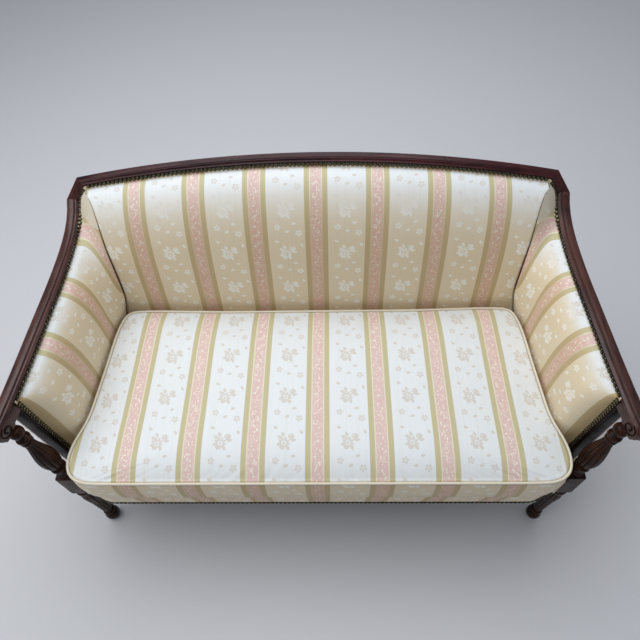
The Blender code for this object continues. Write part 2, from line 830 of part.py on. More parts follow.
def make_back_centre_stile():
    half = CENTRE_STILE_WIDTH / 2
    low = RAIL_TOP + BACK_RAIL_LIFT + BACK_RAIL_HEIGHT + GAP
    high = crest_top(half) - CREST_HEIGHT - GAP
    rings = []
    for z in (low, high):
        rings.append(stile_section(z, -half, half, frame_front(z), RAIL_THICKNESS))
    loft("back_centre_stile", rings, frame_wood())


# Arm frame

def make_arm_upright(label, side):
    """Show-wood upright that fills the arm frame behind the baluster."""
    levels = 5
    corners = ((POST_FRONT, True), (POST_FRONT, False), (POST_BACK, False), (POST_BACK, True))
    rings = []
    for i in range(levels + 1):
        ring = []
        for at, inner in corners:
            z = mix(RAIL_TOP + GAP, arm_under(at) - GAP, i / levels)
            x = arm_plane(at, z, inner) + (GAP if inner else -GAP)
            ring.append(point(side * x, at, z))
        rings.append(ring)
    loft(f"arm_upright_{label}", rings, mahogany())


def make_arm_tack_rail(label, side):
    """Rail under the arm's stuffing, between the upright and the stile."""
    low = RAIL_TOP + TACK_RAIL_LIFT
    high = low + TACK_RAIL_HEIGHT
    steps = 6
    rings = []
    end = frame_front(low) - GAP
    for i in range(steps + 1):
        at = mix(POST_BACK + GAP, end, i / steps)
        ring = []
        for z, inner in ((low, True), (high, True), (high, False), (low, False)):
            x = arm_plane(at, z, inner) + (GAP if inner else -GAP)
            ring.append(point(side * x, at, z))
        rings.append(ring)
    loft(f"arm_tack_rail_{label}", rings, frame_wood())


# Springs, cloths and deck

def make_springs():
    """Flat serpentine springs from the front rail to the back rail, resting on both."""
    z = RAIL_TOP + GAP + SPRING_WIRE / 2
    front = FRONT_RAIL_BACK - SPRING_SEAT
    back = STILE_SEAT + SPRING_SEAT
    pitch = 2 * BLOCK_INNER / (SPRINGS + 1)
    steps = 6 * SPRING_BENDS
    reach = SPRING_WIDTH / 2
    for k in range(SPRINGS):
        x = -BLOCK_INNER + pitch * (k + 1)
        path = []
        for i in range(steps + 1):
            t = i / steps
            swing = math.sin(math.pi * SPRING_BENDS * t)
            path.append(Vector((x + reach * swing, y_at(mix(front, back, t)), z)))
        wire_along(f"seat_spring_{k + 1}", path, SPRING_WIRE / 2)


def wire_along(name, path, radius):
    rings = []
    corners = 4
    for i, here in enumerate(path):
        before = path[max(i - 1, 0)]
        after = path[min(i + 1, len(path) - 1)]
        along = (after - before).normalized()
        out = along.cross(Vector((0, 0, 1))).normalized()
        up = out.cross(along)
        ring = []
        for k in range(corners):
            angle = 2 * math.pi * k / corners
            ring.append(here + radius * (out * math.cos(angle) + up * math.sin(angle)))
        rings.append(ring)
    loft(name, rings, spring_steel())


def seat_half(distance):
    """Half width of what spans the seat frame, clear of the blocks and the stiles."""
    t = clamp((distance - BLOCK_BACK) / (STILE_SEAT - BLOCK_BACK), 0, 1)
    return mix(BLOCK_INNER, stile_inner_at(DECK_TOP), t) - GAP


def seat_sheet(name, low, high, front, back, look):
    rows_low = []
    rows_high = []
    places = [front, BLOCK_BACK, back]
    if back > STILE_SEAT:
        places.insert(2, STILE_SEAT)
    for at in places:
        half = seat_half(at)
        rows_low.append([point(-half, at, low), point(half, at, low)])
        rows_high.append([point(-half, at, high), point(half, at, high)])
    pad(name, rows_low, rows_high, look)


def make_seat_layers():
    front = FRONT_RAIL_SETBACK
    back = STILE_SEAT + RAIL_THICKNESS / 2
    seat_sheet("spring_burlap", SPRING_TOP + GAP, BURLAP_TOP, front, back, jute())
    seat_sheet("seat_deck", BURLAP_TOP + GAP, DECK_TOP, front, back, damask())
    under = RAIL_BOTTOM - GAP
    seat_sheet("dust_cover", under - CLOTH, under, front, STILE_SEAT - GAP, black_cambric())


def make_front_rail_cover():
    """Padded striped fabric over the front rail, drawn back to the leg blocks at its ends."""
    half = BLOCK_INNER - GAP
    columns = 24
    rows = 5
    low = RAIL_BOTTOM - COVER_DROP
    near = []
    far = []
    for i in range(rows + 1):
        v = i / rows
        z = mix(low, DECK_TOP, v)
        crown = COVER_CROWN * math.sin(math.pi * (0.15 + 0.7 * v))
        front_row = []
        back_row = []
        for j in range(columns + 1):
            u = 2 * j / columns - 1
            x = half * math.sin(u * math.pi / 2)
            ease = smooth_step((half - abs(x)) / COVER_END_RUN)
            depth = mix(COVER_END_THICKNESS, COVER_THICKNESS + crown, ease)
            front_row.append(point(x, FRONT_RAIL_SETBACK - GAP - depth, z))
            back_row.append(point(x, FRONT_RAIL_SETBACK - GAP, z))
        near.append(front_row)
        far.append(back_row)
    pad("front_rail_cover", near, far, damask(), smooth_angle=50)


# Upholstery of the back and the arms

def mitre_rear(v):
    """Rear end of the plane where back and arm upholstery meet, as x and distance."""
    z = mix(PAD_BOTTOM, SEAM_TOP, v)
    rear = back_pad_rear(z)
    return arm_plane(rear, z, True) - GAP, rear


def pad_share(i):
    return math.sin(i / PAD_ROWS * math.pi / 2)


def make_inside_back():
    """Stuffed back with its crown, its rolled top edge and its sides drawn in to the arms."""
    columns = 18
    near = []
    far = []
    nailed_half = CREST_HALF - MITRE_RUN
    for i in range(PAD_ROWS + 1):
        v = pad_share(i)
        seam_x, _, seam_z = seam(v)
        rear_x, _ = mitre_rear(v)
        front_row = [(seam_x - 2 * GAP, seam_z, 1.0)]
        back_row = [(rear_x - 4 * GAP, seam_z)]
        for j in range(columns + 1):
            u = 1 - 2 * j / columns
            z = mix(PAD_BOTTOM, crest_nail(u * nailed_half), v)
            front_row.append((u * (seam_x - SEAM_INSET), z, u * (1 - SEAM_INSET / seam_x)))
            back_row.append((u * (rear_x - SEAM_INSET), z))
        front_row.append((-front_row[0][0], seam_z, -1.0))
        back_row.append((-back_row[0][0], seam_z))
        near.append([point(x, back_pad_rear(z) - back_pad_depth(u, v), z) for x, z, u in front_row])
        far.append([point(x, back_pad_rear(z), z) for x, z in back_row])
    pad("inside_back", near, far, damask(), smooth_angle=60)


def make_inside_arm(label, side):
    """Stuffed inside arm, nailed under the arm rail and down the upright."""
    columns = 13
    near = []
    far = []
    front = mix(POST_FRONT, POST_BACK, ARM_PAD_START)
    _, top_at, _ = seam(1.0)
    for i in range(PAD_ROWS + 1):
        v = pad_share(i)
        _, seam_at, _ = seam(v)
        _, rear_at = mitre_rear(v)
        front_row = []
        back_row = []
        for j in range(columns + 1):
            t = (j / columns) ** TO_NOSE
            z = mix(PAD_BOTTOM, arm_pad_edge(mix(front, top_at, t)), v)
            at = mix(front, seam_at - 2 * GAP, t)
            plane = arm_plane(at, z, True) - GAP
            reach = clamp((at - front) / ARM_PAD_NOSE, 0, 1)
            full = plane - arm_pad_inner(at, z, v)
            depth = mix(NAIL_STRIP, full, math.sqrt(1 - (1 - reach) ** 2))
            front_row.append(point(side * (plane - depth), at, z))
            at = mix(front, rear_at - 4 * GAP, t)
            back_row.append(point(side * (arm_plane(at, z, True) - GAP), at, z))
        near.append(front_row)
        far.append(back_row)
    pad(f"inside_arm_{label}", near, far, damask(), smooth_angle=60)


def make_back_webbing():
    """Burlap over the back's webbing, on the front of the back frame."""
    near = []
    far = []
    nailed_half = CREST_HALF - MITRE_RUN
    for v in (0.0, (STILE_UPRIGHT_Z - PAD_BOTTOM) / (NAIL_LINE_Z - PAD_BOTTOM), 1.0):
        front_row = []
        back_row = []
        for j in range(CREST_STEPS + 1):
            u = 2 * j / CREST_STEPS - 1
            z = mix(PAD_BOTTOM, crest_nail(u * nailed_half) - CREST_HEIGHT / 2, v)
            x = u * (stile_inner_at(z) + WEB_LAP)
            front_row.append(point(x, frame_front(z) - GAP - CLOTH, z))
            back_row.append(point(x, frame_front(z) - GAP, z))
        near.append(front_row)
        far.append(back_row)
    pad("back_webbing", near, far, jute())


def make_outside_back():
    """Fabric panel over the back of the frame, from the crest to under the seat rail."""
    near = []
    far = []
    for row, low in enumerate((RAIL_BOTTOM, RAIL_TOP, STILE_UPRIGHT_Z, None)):
        outer = (STILE_OUTER, STILE_OUTER, STILE_TOP_OUTER, STILE_TOP_OUTER)[row]
        inner = outer - STILE_WIDTH
        places = [-outer]
        places += [mix(-inner, inner, j / CREST_STEPS) for j in range(CREST_STEPS + 1)]
        places.append(outer)
        front_row = []
        back_row = []
        for x in places:
            z = low
            if z is None:
                z = stile_top(abs(x)) if abs(x) >= inner else crest_top(x) - CREST_HEIGHT - 2 * GAP
            behind = max(frame_front(z), STILE_SEAT) + STILE_DEPTH + GAP
            front_row.append(point(x, behind, z))
            back_row.append(point(x, behind + PANEL_THICKNESS, z))
        near.append(front_row)
        far.append(back_row)
    pad("outside_back", near, far, damask())


def make_outside_arm(label, side):
    """Fabric panel outside the arm, from the arm rail to under the seat rail."""
    rows = 4
    near = []
    far = []
    for i in range(rows + 1):
        front_row = []
        back_row = []
        for j in range(ARM_STEPS + 1):
            top = arm_under(arm_station(j)) - GAP
            z = RAIL_BOTTOM if i == 0 else mix(RAIL_TOP, top, (i - 1) / (rows - 1))
            end = min(ARM_JOINT, max(frame_front(z), STILE_SEAT) + STILE_DEPTH)
            at = mix(POST_FRONT, end, j / ARM_STEPS)
            x = arm_plane(at, z, False) + GAP
            front_row.append(point(side * x, at, z))
            back_row.append(point(side * (x + PANEL_THICKNESS), at, z))
        near.append(front_row)
        far.append(back_row)
    pad(f"outside_arm_{label}", near, far, damask())


# Loose cushion

def smooth_loop(points, per_span):
    """Points along a closed Catmull-Rom curve through the given ones."""
    dense = []
    count = len(points)
    for i in range(count):
        p0, p1, p2, p3 = (np.array(points[(i + k) % count]) for k in (-1, 0, 1, 2))
        for j in range(per_span):
            t = j / per_span
            dense.append(
                0.5 * (2 * p1 + (p2 - p0) * t
                       + (2 * p0 - 5 * p1 + 4 * p2 - p3) * t ** 2
                       + (3 * p1 - p0 - 3 * p2 + p3) * t ** 3)
            )
    return dense


def cushion_outline():
    """Seam line of the cushion: a nose that wraps in front of the arms, then their sides."""
    bulge = CUSHION_BULGE
    nose_back = NOSE_DEPTH
    flank_from = POST_BACK + ARM_PAD_NOSE / 2
    _, back_at, _ = seam(0.0)
    back_x = arm_pad_narrowest(back_at - CUSHION_BACK_CLEARANCE)
    centre_back = back_pad_rear(PAD_BOTTOM) - back_pad_depth(0, 0.0)
    half = [
        (0.0, bulge),
        (0.45 * NOSE_HALF_WIDTH, bulge),
        (NOSE_HALF_WIDTH - 2.0 * NOSE_CORNER, bulge),
        (NOSE_HALF_WIDTH - 0.75 * NOSE_CORNER, 1.5 * bulge),
        (NOSE_HALF_WIDTH - 0.15 * NOSE_CORNER, 0.45 * NOSE_CORNER + bulge),
        (NOSE_HALF_WIDTH, 0.60 * nose_back),
        (NOSE_HALF_WIDTH - 0.004, nose_back),
    ]
    for share in (0.0, 0.25, 0.5, 0.75, 0.92):
        at = mix(flank_from, back_at - CUSHION_BACK_CLEARANCE, share)
        half.append((arm_pad_narrowest(at) - CUSHION_CLEARANCE, at))
    half.append((back_x - 3.0 * CUSHION_CLEARANCE, back_at - 1.2 * CUSHION_BACK_CLEARANCE))
    half.append((0.5 * back_x, centre_back - CUSHION_BACK_CLEARANCE))
    half.append((0.0, centre_back - CUSHION_BACK_CLEARANCE))
    full = half + [(-x, at) for x, at in reversed(half[1:-1])]
    return smooth_loop(full, 3)


def outward(outline, i):
    """Normal of a closed outline at a point, lengthened where it turns."""
    before = outline[i] - outline[i - 1]
    after = outline[(i + 1) % len(outline)] - outline[i]
    along = before / np.hypot(*before) + after / np.hypot(*after)
    length = np.hypot(*along)
    return np.array((along[1], -along[0])) / length * (2 / length)


def shifted_outline(outline, inward):
    """The outline moved in by a small distance along its normals."""
    return [outline[i] - outward(outline, i) * inward for i in range(len(outline))]


def make_cushion():
    outline = cushion_outline()
    middle = np.array((0.0, OVERALL_DEPTH * CUSHION_CENTRE_SHARE))
    r = WELT_RADIUS
    rings = []

    def add(points, z):
        rings.append([point(x, at, z) for x, at in points])

    add([middle + (p - middle) * CUSHION_FLAT_SHARE for p in outline], CUSHION_BOTTOM)
    add(shifted_outline(outline, CUSHION_BULGE), CUSHION_BOTTOM)
    for share in (0.12, 0.5, 0.8):
        out = -CUSHION_BULGE * math.sin(math.pi * (0.1 + 0.8 * share))
        add(shifted_outline(outline, out), mix(CUSHION_BOTTOM, WELT_Z, share))
    add(shifted_outline(outline, -0.3 * r), WELT_Z - 2.6 * r)
    add(shifted_outline(outline, 0.9 * r), WELT_Z - 1.4 * r)
    add(shifted_outline(outline, 1.25 * r), WELT_Z)
    add(shifted_outline(outline, 1.8 * r), WELT_Z + 1.2 * r)
    base = WELT_Z + 1.2 * r
    inner = shifted_outline(outline, 1.8 * r)
    for scale in (0.94, 0.84, 0.66, 0.42, 0.18):
        z = base + (CUSHION_CROWN - 1.2 * r) * (1 - scale ** 3)
        add([middle + (p - middle) * scale for p in inner], z)
    loft("seat_cushion", rings, damask(), smooth_angle=60)
    make_welt(outline)


def make_welt(outline):
    """Cord sewn round the cushion's top edge."""
    rings = []
    count = len(outline)
    corners = 6
    for i in range(count):
        out = outward(outline, i)
        ring = []
        for k in range(corners):
            angle = 2 * math.pi * k / corners
            x, at = outline[i] + out * WELT_RADIUS * math.cos(angle)
            ring.append(point(x, at, WELT_Z + WELT_RADIUS * math.sin(angle)))
        rings.append(ring)
    loft("cushion_welt", rings, welt_cord(), closed=True, smooth_angle=70)


def clear_scene():
    for existing in list(bpy.data.objects):
        bpy.data.objects.remove(existing, do_unlink=True)


def main():
    clear_scene()
    make_crest_rail()
    make_front_seat_rail()
    make_back_seat_rail()
    make_seat_strut()
    make_corner_braces()
    make_back_bottom_rail()
    make_back_centre_stile()
    make_back_webbing()
    make_springs()
    make_seat_layers()
    make_front_rail_cover()
    make_inside_back()
    make_outside_back()
    for label, side in sides():
        make_front_leg(label, side)
        make_baluster(label, side)
        make_back_leg(label, side)
        make_corner_block(label, side)
        make_arm_rail(label, side)
        make_arm_upright(label, side)
        make_arm_tack_rail(label, side)
        make_side_seat_rail(label, side)
        make_inside_arm(label, side)
        make_outside_arm(label, side)
    make_cushion()


main()
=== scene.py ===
"""Looks of the settee: mahogany show-wood, striped damask, cords and brass nails.

Distances are measured behind the cushion's front, as in the part's source, and y_at()
turns them into Y. Every soft form is built here from the same driving values as its solid.
"""

import math

import bmesh
import bpy
import numpy as np
from mathutils import Matrix, Vector


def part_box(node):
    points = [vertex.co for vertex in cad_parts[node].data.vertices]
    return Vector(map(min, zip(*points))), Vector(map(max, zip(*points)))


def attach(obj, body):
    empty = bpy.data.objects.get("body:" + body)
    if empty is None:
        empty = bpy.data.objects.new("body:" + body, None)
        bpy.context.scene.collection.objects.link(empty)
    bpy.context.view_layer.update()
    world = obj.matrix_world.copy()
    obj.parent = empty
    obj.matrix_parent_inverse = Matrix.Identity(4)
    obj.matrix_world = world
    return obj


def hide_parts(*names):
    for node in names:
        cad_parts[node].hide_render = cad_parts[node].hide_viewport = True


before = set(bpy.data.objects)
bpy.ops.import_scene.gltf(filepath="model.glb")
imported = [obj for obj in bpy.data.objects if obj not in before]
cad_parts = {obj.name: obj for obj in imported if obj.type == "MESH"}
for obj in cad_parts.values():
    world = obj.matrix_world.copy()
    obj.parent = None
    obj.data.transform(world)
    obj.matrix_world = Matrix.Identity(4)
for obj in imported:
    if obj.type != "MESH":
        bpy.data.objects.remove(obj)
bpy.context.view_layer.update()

# Driving values shared with the solids
OVERALL_DEPTH = 0.690
OVERALL_HEIGHT = 0.834
HALF_WIDTH = 0.680
RAIL_BOTTOM = 0.268
RAIL_TOP = 0.330
RAIL_THICKNESS = 0.026
FRONT_RAIL_SETBACK = 0.046
LEG_X = 0.622
LEG_SETBACK = 0.063
BLOCK_HALF = 0.021
BLOCK_TOP = 0.374
STILE_INSET_SEAT = 0.019
BACK_SLOPE = 0.25
CREST_HALF = 0.595
CREST_FACE = 0.0275
CREST_HEIGHT = 0.045
CREST_FACE_DROP = 0.020
CREST_BACK_EASE = 0.006
CREST_LINE = OVERALL_DEPTH + BACK_SLOPE * CREST_BACK_EASE
MITRE_RUN = 0.018
# The crest as shown: its worn top lies a little lower and flatter than its solid
CREST_SHOWN_HEIGHT = 0.8270
CREST_SHOWN_ARCH = 0.055
CREST_SHOWN_FALL = 0.005
# Moulding across the show-wood, as a share of its width and a depth under its face
MOULDING = (
    (0.00, 0.0065), (0.02, 0.0034), (0.06, 0.0010), (0.12, 0.0), (0.62, 0.0), (0.65, 0.0004),
    (0.68, 0.0028), (0.71, 0.0030), (0.735, 0.0008), (0.765, 0.0), (0.805, 0.0), (0.835, 0.0008),
    (0.86, 0.0030), (0.90, 0.0042), (0.96, 0.0046), (1.00, 0.0048),
)
# The arms
ARM_BACK_HALF = 0.632
ARM_JOINT_SETBACK = 0.044
ARM_JOINT = OVERALL_DEPTH - ARM_JOINT_SETBACK
ARM_LEVEL = 0.680
ARM_BACK_RISE = 0.045
ARM_RISE_LENGTH = 0.050
ARM_FRONT_FALL = 0.028
ARM_FALL_LENGTH = 0.300
ARM_SWEEP_POWER = 2.7
ARM_FACE_BACK = 0.030
ARM_FACE_FRONT = 0.034
ARM_THICKNESS = 0.038
SIDE_RAIL_OFFSET = 0.010
SCROLL_RADIUS = 0.025
SCROLL_FLAT = 0.005
CLOTH = 0.0015
GAP = 0.0003
# Flat strip at the edge of a pad, which carries its nails
STRIP_DEPTH = 0.0014
STRIP_WIDTH = 0.009
EDGE_UNDER = 0.0030
# A pad's thickness falls off as this power of its height
PAD_ROUND = 4
# Thickness of the back's and the arms' pads, and the fill of the arms' corners
BACK_PAD_FOOT = 0.052
BACK_PAD_SWELL = 0.061
BACK_SIDE_EASE = 0.10
ARM_PAD_FOOT = 0.040
ARM_PAD_SWELL = 0.016
ARM_PAD_NOSE = 0.045
PAD_START = 0.1165
CORNER_FILL = 0.022
CORNER_FILL_RUN = 0.080
CORNER_FILL_FROM = 0.05
CORNER_FILL_TO = 0.40
PAD_BOTTOM = 0.3547
# The loose cushion and the deck under it
WELT_RADIUS = 0.0032
BOXING_BULGE = 0.0055
CROWN_POWER = 4.2
# Puckers along the welt: height, pitch and phase of each wave, and the pitch of their swell
PUCKER_WAVES = ((1.0, 0.031, 0.0), (0.7, 0.019, 1.3), (0.5, 0.053, 0.4))
PUCKER_SWELL = 0.41
DECK_FALL = 0.005
DECK_EDGE = 0.06
# The cover of the front rail
COVER_THICKNESS = 0.024
COVER_END_THICKNESS = 0.003
COVER_END_RUN = 0.075
COVER_CROWN = 0.005
COVER_RIPPLE = 0.0005
COVER_RIPPLE_RATE = 190
COVER_FLARE = 0.06
# Legs and balusters
LEG_TOP_RADIUS = 0.0205
LEG_ANKLE_RADIUS = 0.0125
FOOT_RADIUS = 0.0205
FOOT_PAD_RADIUS = 0.012
FOOT_HEIGHT = 0.044
BLOCK_EASE = 0.0015
REEDS = 12
REED_DEPTH = 0.0024
BALUSTER_NECK_RADIUS = 0.0125
BALUSTER_BELLY_RADIUS = 0.0240
BALUSTER_RING_RADIUS = 0.0190
BALUSTER_BALL_RADIUS = 0.0165
BALUSTER_LEAN_OUT = 0.022
BALUSTER_LEAN_BACK = 0.012

# The cloth: one stripe group and one spray of flowers repeat over it
STRIPE_PITCH = 0.148
STRIPE_OFFSET = 0.002
FLOWER_REPEAT = 0.1155
SEAT_FLOWER_Y = -0.0175
BACK_FLOWER_Z = 0.639
ARM_CLOTH_SCALE = 0.955
ARM_STRIPE_Y = -0.086
ARM_FLOWER_UP = 0.200
OUTER_ARM_SCALE = 0.96
OUTER_ARM_STRIPE_Y = -0.09
# Where the pink, its pale line and the gold end, as shares of the pitch from the middle
PINK_END = 0.088
LINE_END = 0.106
GOLD_END = 0.190
EDGE_BLUR = 0.0035

NAIL_PITCH = 0.0107
NAIL_RADIUS = 0.0056
NAIL_HEIGHT = 0.0032
# How far a row of nails lies in from its edge, on the pads, the uprights and the front
NAIL_SEAT = 0.0012
UPRIGHT_NAIL_SEAT = 0.004
FRONT_NAIL_RISE = 0.0058

# The carved hook on a scroll: its radii, its start in degrees, its turns and its thickness
VOLUTE_OUTER = 0.0200
VOLUTE_INNER = 0.0045
VOLUTE_START = 100
VOLUTE_TURNS = 1.45
VOLUTE_CORD = 0.0013

# The camera, as fitted to the photograph, in degrees and millimetres of focal length
CAMERA_PLACE = (0.0411, -0.7437, 1.7082)
CAMERA_PITCH = 55.77
CAMERA_YAW = -2.41
CAMERA_ROLL = -2.53
CAMERA_LENS = 31.49
CAMERA_SENSOR = 36
SKY_COLOUR = (0.86, 0.91, 1.0)
SKY_STRENGTH = 0.28
FLOOR_COLOUR = (0.64, 0.64, 0.655)
FLOOR_HALF = 6.0

SIDES = (("left", -1), ("right", 1))


# Places

def y_at(distance):
    return distance - OVERALL_DEPTH / 2


def point(x, distance, z):
    return Vector((x, y_at(distance), z))


def mix(a, b, t):
    return a + (b - a) * t


def clamp(value, low, high):
    return max(low, min(high, value))


def frame_front(z):
    return CREST_LINE - CREST_FACE - BACK_SLOPE * (OVERALL_HEIGHT - CREST_FACE_DROP - z)


STILE_SEAT = frame_front(RAIL_TOP)
STILE_OUTER = ARM_BACK_HALF - STILE_INSET_SEAT
BLOCK_BACK = LEG_SETBACK + BLOCK_HALF
BLOCK_INNER = LEG_X - BLOCK_HALF
SCROLL_FRONT = LEG_SETBACK - SCROLL_RADIUS


def side_rail_x(distance):
    t = clamp((distance - BLOCK_BACK) / (STILE_SEAT - BLOCK_BACK), 0, 1)
    return mix(LEG_X + SIDE_RAIL_OFFSET, STILE_OUTER - RAIL_THICKNESS / 2, t)


def arm_share(distance):
    return clamp((ARM_JOINT - distance) / (ARM_JOINT - SCROLL_FRONT), 0, 1)


def arm_outer_edge(distance):
    return mix(ARM_BACK_HALF, HALF_WIDTH, arm_share(distance) ** ARM_SWEEP_POWER)


def arm_inner_edge(distance):
    return arm_outer_edge(distance) - mix(ARM_FACE_BACK, ARM_FACE_FRONT, arm_share(distance))


def arm_top(distance):
    rise = ARM_BACK_RISE * math.exp(-(ARM_JOINT - distance) / ARM_RISE_LENGTH)
    t = max(0.0, (LEG_SETBACK + ARM_FALL_LENGTH - distance) / ARM_FALL_LENGTH)
    return ARM_LEVEL + rise - ARM_FRONT_FALL * (1 - math.cos(t * math.pi / 2))


ROLL_SLOPE = ARM_FRONT_FALL * math.pi / 2 / ARM_FALL_LENGTH
ROLL_ANGLE = math.pi / 2 + math.atan(ROLL_SLOPE)
SCROLL_TANGENT = LEG_SETBACK + SCROLL_RADIUS * math.cos(ROLL_ANGLE)
SCROLL_Z = arm_top(SCROLL_TANGENT) - SCROLL_RADIUS * math.sin(ROLL_ANGLE)
SCROLL_SEAT = SCROLL_Z - SCROLL_RADIUS + SCROLL_FLAT


def arm_plane(distance, z):
    """Inner face of an arm's frame, from the seat rail to the arm rail."""
    t = clamp((z - RAIL_TOP) / (arm_top(distance) - ARM_THICKNESS - RAIL_TOP), 0, 1)
    return mix(side_rail_x(distance) - RAIL_THICKNESS / 2, arm_inner_edge(distance), t)


def rounding(v):
    """How a pad thins out towards its top, 1 at its foot and 0 at its edge."""
    return math.sqrt(max(0.0, 1 - v ** PAD_ROUND))


def swell(v, foot, gain, height):
    """Thickness of a stuffed pad up to the flat strip that carries its nails."""
    v = min(1.0, v * height / (height - STRIP_WIDTH))
    return STRIP_DEPTH + (foot + gain * v) * rounding(v)


def crest_shown(x):
    return CREST_SHOWN_HEIGHT - CREST_SHOWN_ARCH * (x / CREST_HALF) ** 2


def crest_edge(x):
    """Top edge of the back's cloth, right under the crest's moulding."""
    return crest_shown(x) - CREST_SHOWN_FALL - MOULDING[-1][1] - EDGE_UNDER


def arm_pad_edge(distance):
    return arm_top(distance) - MOULDING[-1][1] - EDGE_UNDER


def back_pad_depth(u, v):
    full = swell(v, BACK_PAD_FOOT, BACK_PAD_SWELL, crest_edge(0) - PAD_BOTTOM)
    return full * (1 - BACK_SIDE_EASE * abs(u) ** 3)


def back_pad_rear(z):
    return frame_front(z) - 2 * GAP - CLOTH


def smooth_step(value):
    t = clamp(value, 0.0, 1.0)
    return t * t * (3 - 2 * t)


def corner_fill(distance, z, v):
    """Extra stuffing of the arm over the cushion, next to the seam with the back."""
    end = back_pad_rear(z) - back_pad_depth(1, v)
    near = smooth_step(1 - (end - distance) / CORNER_FILL_RUN)
    over = smooth_step((v - CORNER_FILL_FROM) / (CORNER_FILL_TO - CORNER_FILL_FROM))
    return CORNER_FILL * near * over * rounding(v)


def arm_pad_inner(distance, z, v):
    depth = swell(v, ARM_PAD_FOOT, ARM_PAD_SWELL, arm_pad_edge(distance) - PAD_BOTTOM)
    return arm_plane(distance, z) - GAP - depth - corner_fill(distance, z, v)


# The seam of back and arm runs from the deck to the crest's inner corner
CORNER_INSET = 0.006
CORNER_X = CREST_HALF - MITRE_RUN - CORNER_INSET
CORNER_Z = crest_edge(CORNER_X)
CORNER_AT = back_pad_rear(CORNER_Z) - back_pad_depth(1, 1)
# Share of the arm's length at which its nailed edge turns up the canted corner
CANT_SHARE = 0.94
# Share of its length from which the arm's cloth climbs from the nails to the seam
CLIMB_FROM = 0.88
CLIMB_POWER = 1.5
# How quickly its rows give way to the nailed edge
EDGE_POWER = 40
ROW_POWER = 4
# How far the arm's stripes are drawn back at that seam, and forward at the nails
SEAM_SHIFT = 0.047
NAIL_SHIFT = 0.020
SHIFT_POWER = 8
# The pull of the cloth at a seam, which dies out towards the nailed edge
TUCK = 0.003
TUCK_RUN = 0.007
PULL_POWER = 6


def corner_pull(v):
    """How far the arm's cover is drawn in towards the crest's corner."""
    return (CORNER_X - arm_pad_inner(CORNER_AT, CORNER_Z, 1.0)) * v ** PULL_POWER


def seam_height(v):
    return mix(PAD_BOTTOM, CORNER_Z, v)


def seam_at(v):
    """Distance of the seam behind the cushion's front."""
    return back_pad_rear(seam_height(v)) - back_pad_depth(1, v)


def seam_x(v):
    return arm_pad_inner(seam_at(v), seam_height(v), v) + corner_pull(v)


def tuck(distance, v):
    """Depth of the pull at a seam, at a distance from it and a height."""
    return TUCK * max(0.0, 1 - distance / TUCK_RUN) ** 2 * (1 - v ** PULL_POWER)


# Shader building

class Shader:
    """A material's node tree with short calls for the nodes that this script uses."""

    def __init__(self, name):
        self.material = bpy.data.materials.new(name)
        self.material.use_nodes = True
        self.tree = self.material.node_tree
        self.shader = self.tree.nodes["Principled BSDF"]

    def node(self, kind, **settings):
        made = self.tree.nodes.new(kind)
        for key, value in settings.items():
            setattr(made, key, value)
        return made

    def join(self, value, socket):
        """Links a node's output to a socket, or sets the socket to a number or a colour."""
        if isinstance(value, bpy.types.NodeSocket):
            self.tree.links.new(value, socket)
        elif socket.type == "RGBA":
            socket.default_value = (*value, 1)
        else:
            socket.default_value = value

    def math(self, operation, *values):
        made = self.node("ShaderNodeMath", operation=operation)
        for value, socket in zip(values, made.inputs):
            self.join(value, socket)
        return made.outputs[0]

    def add(self, a, b):
        return self.math("ADD", a, b)

    def sub(self, a, b):
        return self.math("SUBTRACT", a, b)

    def mul(self, a, b):
        return self.math("MULTIPLY", a, b)

    def scaled(self, value, factor, shift):
        return self.math("MULTIPLY_ADD", value, factor, shift)

    def size(self, value):
        return self.math("ABSOLUTE", value)

    def step(self, value, low, high):
        """0 below low, 1 above high, smooth between."""
        made = self.node("ShaderNodeMapRange", interpolation_type="SMOOTHSTEP")
        self.join(value, made.inputs["Value"])
        self.join(low, made.inputs["From Min"])
        self.join(high, made.inputs["From Max"])
        return made.outputs[0]

    def blend(self, share, a, b):
        """Colour a where the share is 0, and b where it is 1."""
        made = self.node("ShaderNodeMix", data_type="RGBA", blend_type="MIX")
        self.join(share, made.inputs[0])
        self.join(a, made.inputs[6])
        self.join(b, made.inputs[7])
        return made.outputs[2]

    def place(self):
        return self.node("ShaderNodeTexCoord").outputs["Object"]

    def stretched(self, vector, scale):
        made = self.node("ShaderNodeMapping")
        self.join(vector, made.inputs["Vector"])
        made.inputs["Scale"].default_value = scale
        return made.outputs[0]

    def noise(self, vector, scale, detail=3.0, roughness=0.5):
        made = self.node("ShaderNodeTexNoise")
        self.join(vector, made.inputs["Vector"])
        made.inputs["Scale"].default_value = scale
        made.inputs["Detail"].default_value = detail
        made.inputs["Roughness"].default_value = roughness
        return made.outputs[0]

    def voronoi(self, vector, scale):
        made = self.node("ShaderNodeTexVoronoi", feature="F1")
        self.join(vector, made.inputs["Vector"])
        made.inputs["Scale"].default_value = scale
        return made.outputs["Distance"]

    def waves(self, vector, scale, direction):
        made = self.node("ShaderNodeTexWave", wave_type="BANDS", bands_direction=direction)
        self.join(vector, made.inputs["Vector"])
        made.inputs["Scale"].default_value = scale
        return made.outputs["Fac"]

    def bump(self, height, strength, distance):
        made = self.node("ShaderNodeBump")
        self.join(height, made.inputs["Height"])
        made.inputs["Strength"].default_value = strength
        made.inputs["Distance"].default_value = distance
        self.tree.links.new(made.outputs[0], self.shader.inputs["Normal"])

    def set(self, **values):
        for key, value in values.items():
            self.join(value, self.shader.inputs[key.replace("_", " ")])


